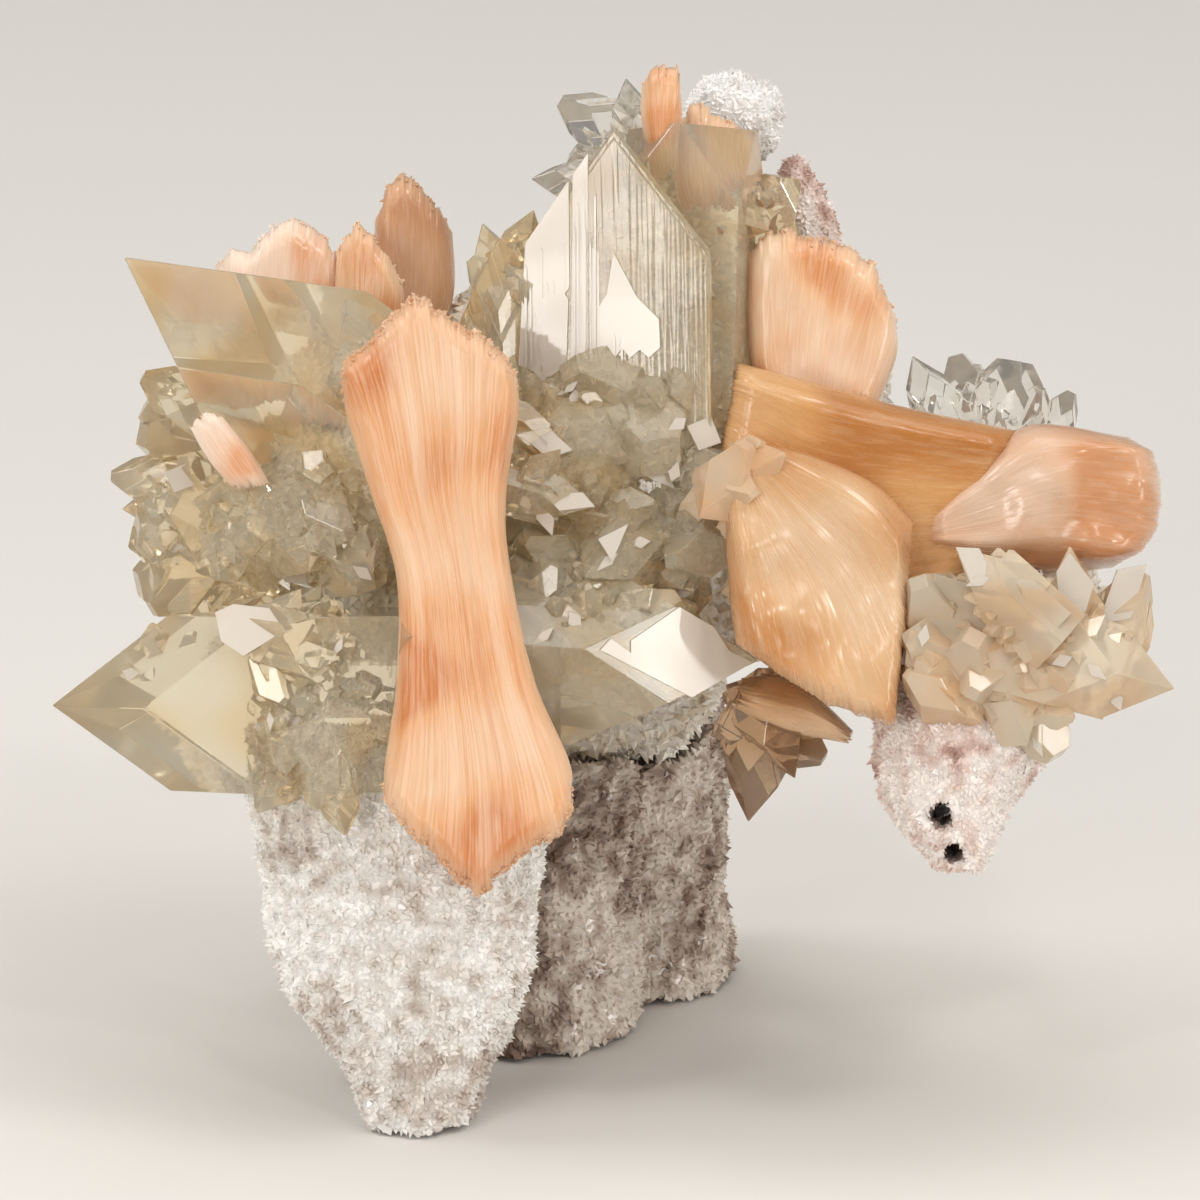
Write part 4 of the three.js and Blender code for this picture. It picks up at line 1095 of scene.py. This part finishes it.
LEFT_ROWS = [
    # the large clear crystal at the upper left, and what grows out of its back
    (-47.2, 0, 87.8, 144, 2, 45, 8.1, 8.1, 38, 0),
    (-25.4, 3, 85.6, 100, 20, 35, 6, 6, 24, 3.4),
    # the crust below it
    (-46.2, -1, 76.4, 152, 10, 10, 2.5, 2.5, 14, 1),
    (-47.6, 0, 70.8, 170, 25, 40, 3, 3, 14, 2.5),
    (-49.4, 2, 66.2, 175, 5, 25, 2.2, 2.2, 14, 0.8),
    (-48.6, 1, 61, 176, 15, 5, 3.6, 3.6, 18, 2.6),
    (-48.4, 3, 54.6, 195, 12, 30, 4.2, 4.2, 18, 2.6),
    (-42.6, -6, 57, 205, 48, 20, 5.4, 5.4, 20, 4.6),
    (-41.4, -5.4, 68.6, 110, 40, 20, 3.8, 3.8, 18, 1.6),
    (-34.6, -8, 67, 60, 60, 45, 4.4, 4.4, 18, 3),
    (-29, -8.6, 63, 30, 55, 20, 4.4, 4.4, 18, 3.4),
    (-27, -7.4, 71, 80, 50, 15, 3.8, 3.8, 18, 1.4),
    (-35, -9, 58.4, 250, 60, 25, 4, 4, 18, 2.2),
    (-29, -9.4, 56.4, 290, 60, 35, 3.4, 3.4, 16, 0.8),
    (-24, -9, 60, 330, 50, 10, 3.4, 3.4, 16, 1.2),
    (-22.6, -8, 54.4, 300, 55, 30, 3.6, 3.6, 16, 2),
    (-45.6, -1, 52, 215, 15, 30, 3, 3, 14, 1.5),
    # the long crystal that points left, and the blocks that sit on it
    (-54.2, -4, 43.4, 181, 4, -4, 6.6, 8.7, 50, 0),
    (-36.6, -11.6, 52.6, 150, 30, 24, 3.2, 3.2, 13, 1.6),
    (-29.4, -10, 50.6, 120, 45, 12, 3, 3, 11, 1),
    (-22.4, -9, 48.8, 60, 50, 30, 3.2, 3.2, 11, 1.4),
    (-40.6, -8, 51.2, 100, 40, 25, 2.6, 2.6, 11, 0.8),
    # small ones that hang below it
    (-34, -9, 32.6, 235, 20, 20, 2, 2, 9, 0.6),
    (-28.4, -12, 32.6, 250, 30, 35, 2.2, 2.2, 9, 0.8),
    (-25, -10.6, 30.4, 280, 15, 10, 1.9, 1.9, 10, 0.3),
    (-31.4, -13, 36.8, 215, 40, 28, 4.2, 4.2, 13, 2.8),
]
RIGHT_ROWS = [
    (56.9, -3, 45, -15, 0, 0, 4.6, 4.8, 26, 0),
    (54.4, -1, 57.6, 62, 5, 25, 2.5, 2.5, 16, 1.2),
    (46.4, -5, 59.2, 92, 10, 40, 2.4, 2.4, 14, 0),
    (35, -8.4, 59, 138, 0, 45, 2.6, 2.6, 14, 0),
    (32.6, -9, 52.6, 110, 50, 20, 4.4, 4.4, 18, 4),
    (40.6, -8.6, 55, 70, 48, 35, 3.8, 3.8, 16, 2),
    (40.5, -10, 47, -40, 60, 10, 4.4, 4.4, 16, 2.4),
    (33.4, -9, 44.4, 230, 50, 30, 4, 4, 15, 2.4),
    (47.6, -8, 50.6, 15, 50, 30, 3.6, 3.6, 16, 1.6),
    (46.4, -4, 36.8, -55, 10, 15, 2.6, 2.6, 14, 2),
    (40, -7, 40, -80, 35, 40, 3, 3, 14, 2),
    (50, 3, 52, 5, -10, 15, 4, 4, 18, 3),
    (37, -11, 51, 80, 60, 25, 3.6, 3.6, 13, 1.8),
    (43.6, -10, 52.4, 30, 55, 10, 3.2, 3.2, 13, 1.2),
    (44.6, -9.4, 45, -60, 55, 20, 3.4, 3.4, 13, 1.6),
    (36.4, -10.4, 44, 250, 60, 35, 3, 3, 12, 1.2),
    (50.4, -7, 46.6, -20, 50, 30, 3, 3, 12, 1),
    (40.4, -8, 42, 270, 45, 15, 2.8, 2.8, 12, 1.4),
    (30.8, -9.6, 56.4, 120, 50, 30, 3.4, 3.4, 12, 1.6),
    (30, -10.6, 50.6, 150, 60, 15, 3.6, 3.6, 12, 2),
    (31, -9.6, 45.4, 200, 50, 35, 3, 3, 12, 1.4),
]
TOP_ROWS = [
    (-4.9, 19, 104.6, 150, 5, 20, 2.6, 2.6, 14, 1),
    (-7, 17, 96.2, 175, 10, 35, 1.7, 1.7, 13, 0),
    (-4.2, 18.6, 99.6, 150, 10, 10, 2.9, 2.9, 13, 1.6),
    (2.6, 18, 106.4, 100, 0, 30, 2.2, 2.2, 16, 0),
    (-0.5, 18, 104.4, 125, 20, 40, 2.6, 2.6, 16, 1.2),
    (4.6, 19, 104, 80, 10, 10, 2.2, 2.2, 14, 1),
]
RIGHT_BACK_ROWS = [
    (35.4, 17, 79.8, 105, 5, 40, 3, 3, 14, 1.4),
    (42.2, 17, 80.4, 80, 0, 15, 3.4, 3.4, 16, 2.6),
    (47.8, 16, 75.4, 62, 5, 30, 1.7, 1.7, 11, 0.8),
    (31.4, 17, 78.4, 115, -10, 20, 2.2, 2.2, 12, 0),
    (39, 14, 77, 90, 25, 5, 2.4, 2.4, 11, 1.2),
    (44.4, 14, 76, 70, 25, 30, 2, 2, 11, 1),
]
UNDER_ROWS = [
    (14.8, 8, 31.6, 262, 5, 30, 2.8, 2.8, 13, 0),
    (23.4, 7, 37.4, 330, 10, 20, 2.8, 2.8, 12, 1.2),
    (19.4, 4, 36, 290, 20, 40, 2.8, 2.8, 11, 0),
]
# plates on the front of the tall crystal, their milky finish in part painted highlight: outline in x and h,
# lift
PRISM_FRONT = (1, 0, 0)
PYRAMID_FRONT = (1, -1, 1 / FACE_SLOPE)
TALL_BODY = [(-7.2, 62), (-7.2, 88.2), (1.4, 100.2), (10.8, 87.6), (10.8, 62)]
TALL_PLATES = (
    (
        [
            (-8.1, 77.1), (-7.4, 89.2), (-3.1, 95.4), (-3, 84.8), (-3.8, 83.8), (-3.9, 78.6), (-4.8, 76.6),
            (-5.5, 75.4), (-6.7, 76.6),
        ], 0.06,
    ),
    ([(-2.7, 96), (-1.2, 98.1), (-1.2, 78.8), (-2, 77.6), (-2.9, 77.2), (-2.8, 83.8)], 0.06),
    ([(-0.8, 88.8), (-0.1, 88.3), (0, 75.8), (-0.6, 77.2), (-0.9, 78.6)], 0.06),
    (
        [
            (-5.9, 83.5), (-5.2, 84.1), (-3.5, 84.2), (-3.1, 83.6), (-3.3, 77.1), (-4.4, 76.3), (-5.5, 75.8),
            (-6, 78.8),
        ], 0.2,
    ),
    (
        [
            (1.1, 86.6), (1.4, 88.2), (3.7, 83.8), (5.9, 81.6), (6, 78.8), (4.9, 77.8), (4, 78.6), (3, 77.8),
            (2.2, 78.8), (1.5, 77.8), (0.7, 79.1), (0, 78.1), (-0.1, 82.8), (0.7, 84.1),
        ], 0.16,
    ),
)
WIDE_PLATE = [
    (1.0, 50), (3, 48.6), (3, 49.8), (7.8, 53.1), (11.2, 51.1), (12.7, 48.8), (15, 47.6), (9, 44.2),
    (0, 48.9),
]
SEAM_LINES = 26  # fine raised lines down the left of the tall crystal's front


def tall_crystal_plates(row, rng):
    """The pearly layers of the tall crystal's front, with fine lines that end ragged. Their milky finish is
    the real pearly lustre and, in part, painted highlight.
    """
    for outline, lift in TALL_PLATES:
        yield plate(row, PRISM_FRONT, outline, lift, 0.03)
    for _ in range(SEAM_LINES):
        left = rng.uniform(-7.6, 4.2)
        if left < 0:
            top = min(89.0 + 1.4 * (left + 7.4), 97) - rng.uniform(0.3, 8)
        else:
            top = 83 - rng.uniform(0, 3) - 0.6 * left
        bottom = rng.uniform(76.2, 79.4)
        width = rng.uniform(0.12, 0.34)
        right = left + width
        outline = [
            (left, top - 0.4), (left + width / 2, top), (right, top - 0.5), (right, bottom + 0.8),
            (left + width * 0.4, bottom),
        ]
        yield plate(row, PRISM_FRONT, outline, rng.uniform(0.12, 0.3), 0.05)


# pearly faces that stand out of the groups, their pale finish in part painted highlight: outline in x and h,
# change of depth with x and with h
MAIN_SLABS = (
    ([(-7.8, 70), (-5.2, 70.8), (-2.7, 68.6), (-5, 67.7)], 0.25, 0.3),
    ([(-5.5, 64.3), (-1.7, 64.4), (-0.5, 63), (-4, 62.6)], 0.2, 0.35),
    ([(-6.2, 63.8), (-4.5, 61.8), (-4.7, 60.1), (-6.3, 61.8)], -0.3, 0.2),
    ([(-0.2, 59.8), (2.8, 61.3), (1.2, 57.6)], 0.3, 0.2),
    ([(8.6, 71), (11, 72), (12, 69.4), (9.8, 68.6)], 0.3, 0.3),
    ([(4.6, 66), (6.6, 67.2), (7.4, 64.8)], 0.2, 0.3),
)
LEFT_SLABS = (
    ([(-37.8, 52.6), (-36, 53.4), (-32.5, 53), (-31, 50.8), (-35, 48.3), (-37.2, 49.8)], 0.2, 0.25),
    ([(-31.6, 57), (-29, 56.6), (-28.8, 55.3), (-31.2, 55.6)], 0.3, 0.3),
    ([(-43, 66.4), (-40.6, 67.4), (-40, 65.2), (-42, 64.4)], 0.3, 0.2),
)
RIGHT_SLABS = (
    ([(35, 59), (37.3, 58.9), (39.3, 55), (36.5, 55.4)], 0.15, 0.3),
    ([(45, 56.6), (46.3, 58.5), (48.7, 55.4), (47.9, 52.7), (46.5, 51.6), (45.2, 54.3)], 0.2, 0.1),
    ([(51.2, 56.8), (54.2, 57.4), (52.5, 52), (49.2, 51.4)], 0.3, 0.1),
)
# where small crystals crowd: middle x and h, half width, half height
LEFT_FIELDS = ((-30, 58, 12, 11), (-46, 58, 5, 13), (-45, 72, 4, 6), (-28, 41, 8, 11))
MAIN_FIELDS = ((-5, 60, 11, 11), (11, 62, 8, 10), (2, 73, 9, 4), (15, 93, 4, 6), (-9, 88, 5, 6))
RIGHT_FIELDS = ((42, 50, 14, 12),)
WEDGE_ROWS = [
    (11.6, -10.6, 66.6, 150, 50, 30, 2.6, 2.6, 9, 1.4),
    (14.6, -11.4, 70, 70, 40, 20, 3, 3, 9, 1.2),
    (18.4, -11, 68.2, 20, 45, 10, 2.2, 2.2, 8, 0.4),
    (15.4, -12, 64, -30, 60, 25, 2, 2, 7, 0.8),
    (29.6, -9.6, 46.8, 150, 40, 35, 2.4, 2.4, 9, 0.8),
    (30.4, -9, 51, 120, 35, 20, 2.2, 2.2, 9, 0.4),
]
WEDGE_FIELDS = ((14, 67, 3.4, 4), (13, 57, 2, 8), (16, 48.4, 4, 2.6), (31, 46, 2.4, 7))
EVERYWHERE = ((0, 60, 90, 90),)
# object, node, rows, finish, companions, fields, spacing, smallest, largest small crystal
CLUSTERS = (
    ("crystals_main", "apophyllite_main", MAIN_ROWS, MILKY, 4, MAIN_FIELDS, 1.5, 0.4, 2.0),
    ("crystals_left", "apophyllite_left", LEFT_ROWS, MILKY, 4, LEFT_FIELDS, 1.4, 0.4, 2.0),
    ("crystals_right", "apophyllite_right", RIGHT_ROWS, HONEY, 3, RIGHT_FIELDS, 1.8, 0.5, 1.9),
    ("crystals_top", "apophyllite_top", TOP_ROWS, CLEAR, 3, EVERYWHERE, 1.6, 0.3, 0.9),
    ("crystals_right_back", "apophyllite_right_back", RIGHT_BACK_ROWS, CLEAR, 3, EVERYWHERE, 1.4, 0.3, 1.0),
    ("crystals_under", "apophyllite_under", UNDER_ROWS, SMOKY, 3, EVERYWHERE, 1.8, 0.3, 0.9),
    ("crystals_wedge", "stilbite_wedge", WEDGE_ROWS, GOLDEN, 4, WEDGE_FIELDS, 0.9, 0.3, 1.1),
    ("crystals_back_left", "apophyllite_back_left", (), MILKY, 0, EVERYWHERE, 1.7, 0.4, 1.6),
    ("crystals_back_right", "apophyllite_back_right", (), MILKY, 0, EVERYWHERE, 1.7, 0.4, 1.6),
)


def hollowness(mesh, rounds):
    """How far each vertex lies below the smoothed surface, in millimetres."""
    points = coordinates(mesh)
    ends = np.empty(len(mesh.edges) * 2, int)
    mesh.edges.foreach_get("vertices", ends)
    first, second = ends[0::2], ends[1::2]
    degree = np.bincount(ends, minlength=len(points))[:, None]
    smooth = points
    for _ in range(rounds):
        total = [np.bincount(first, smooth[second, k], len(points)) for k in range(3)]
        more = [np.bincount(second, smooth[first, k], len(points)) for k in range(3)]
        smooth = (np.stack(total, 1) + np.stack(more, 1)) / degree
    normals = np.array([v.vector for v in mesh.vertex_normals])
    return 1000 * ((smooth - points) * normals).sum(1)


def crowded(name, fields):
    """A CAD crystal group as a fine surface. Small crystals crowd in the hollows of its fields."""
    form = cad_copy(name)
    remesh = form.modifiers.new("remesh", "REMESH")
    remesh.mode = "VOXEL"
    remesh.voxel_size = 0.0007
    form = evaluated(form, name + "_ground")
    points = measured(coordinates(form.data))
    crowd = np.zeros(len(points))
    for x, h, half_width, half_height in fields:
        away = np.hypot((points[:, 0] - x) / half_width, (points[:, 2] - h) / half_height)
        crowd = np.maximum(crowd, np.clip(2.2 - 2 * away, 0, 1))
    keep(form.data, "crowd", crowd * np.clip(0.7 + hollowness(form.data, 25) * 4, 0, 1))
    return form


for order, cluster in enumerate(CLUSTERS):
    name, node_name, rows, finish, companions, fields, spacing, smallest, largest = cluster
    rng = random.Random(200 + order)
    meshes = []
    for row in rows:
        meshes.append(crystal(row, min(0.07, 0.04 * row[6]), rng.random()))
        if max(row[6:8]) < 6:
            meshes += [crystal(small, 0.02, rng.random()) for small in satellites(row, companions, rng)]
    if rows is MAIN_ROWS:
        meshes.append(slab(TALL_BODY, 1.4, -0.176, 0, thick=9))
    if not rows:
        solid = cad_copy(node_name)
        meshes.append(solid.data.copy())
        bpy.data.objects.remove(solid)
    made = grown(
        crowded(node_name, fields),
        name, JOINED, Crystals=shape_box(name, meshes), Shapes=small_crystals, Finish=finish,
        Spacing=spacing, Smallest=smallest, Largest=largest, Lean=0.7, Seed=80 + order,
    )
    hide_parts(node_name)
    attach(made, "root")


def grown_out_of(surface, outline, turn, nod, lift=0.5):
    """A pearly slab, pale in part as painted highlight, that stands a little out of the surface behind it."""
    x, h = np.mean(outline, axis=0)
    found, spot, _, _ = surface.ray_cast(at(x, -60, h), way(0, 1, 0))
    depth = (TO_WORLD.inverted() @ spot).y if found else 0
    return slab(outline, depth - lift - turn * (x - outline[0][0]) - nod * (h - outline[0][1]), turn, nod)


def glint_chips(surface, fields, count, rng):
    """Small bright facets that stand a little out of a surface, all over its fields. Their pale pearly finish
    paints glints: painted highlights.
    """
    for _ in range(count):
        middle_x, middle_h, half_width, half_height = rng.choice(fields)
        x = middle_x + half_width * rng.uniform(-0.9, 0.9)
        h = middle_h + half_height * rng.uniform(-0.9, 0.9)
        turned = rng.uniform(0, math.tau)
        reaches = [rng.uniform(*reach) for reach in ((0.9, 1.7), (0.4, 0.8), (0.8, 1.5), (0.3, 0.7))]
        angles = [turned + quarter * math.pi / 2 for quarter in range(4)]
        corners = [(x + r * math.cos(a), h + r * math.sin(a)) for a, r in zip(angles, reaches)]
        if surface.ray_cast(at(x, -60, h), way(0, 1, 0))[0]:
            yield grown_out_of(surface, corners, rng.uniform(-0.3, 0.4), rng.uniform(0, 0.4), 0.35)


rng = random.Random(300)
front_plates = [*tall_crystal_plates(MAIN_ROWS[0], rng), plate(MAIN_ROWS[7], PYRAMID_FRONT, WIDE_PLATE, 0.12)]
bpy.context.view_layer.update()
# the pearly pieces of each side as one object, pale in part as painted highlight
for side, meshes, slabs, fields, count in (
    ("main", front_plates, MAIN_SLABS, MAIN_FIELDS[:3], 12),
    ("left", [], LEFT_SLABS, LEFT_FIELDS, 12),
    ("right", [], RIGHT_SLABS, RIGHT_FIELDS, 10),
):
    surface = bpy.data.objects["crystals_" + side]
    meshes = meshes + [grown_out_of(surface, *values) for values in slabs]
    meshes += glint_chips(surface, fields, count, rng)
    form = bmesh.new()
    for mesh in meshes:
        form.from_mesh(mesh)
    mesh = as_mesh(form, "pearly_faces_" + side)
    mesh.materials.append(PEARL_AND_GLINT)
    made = as_object(mesh, "pearly_faces_" + side)
    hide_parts("apophyllite_" + side)
    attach(made, "root")
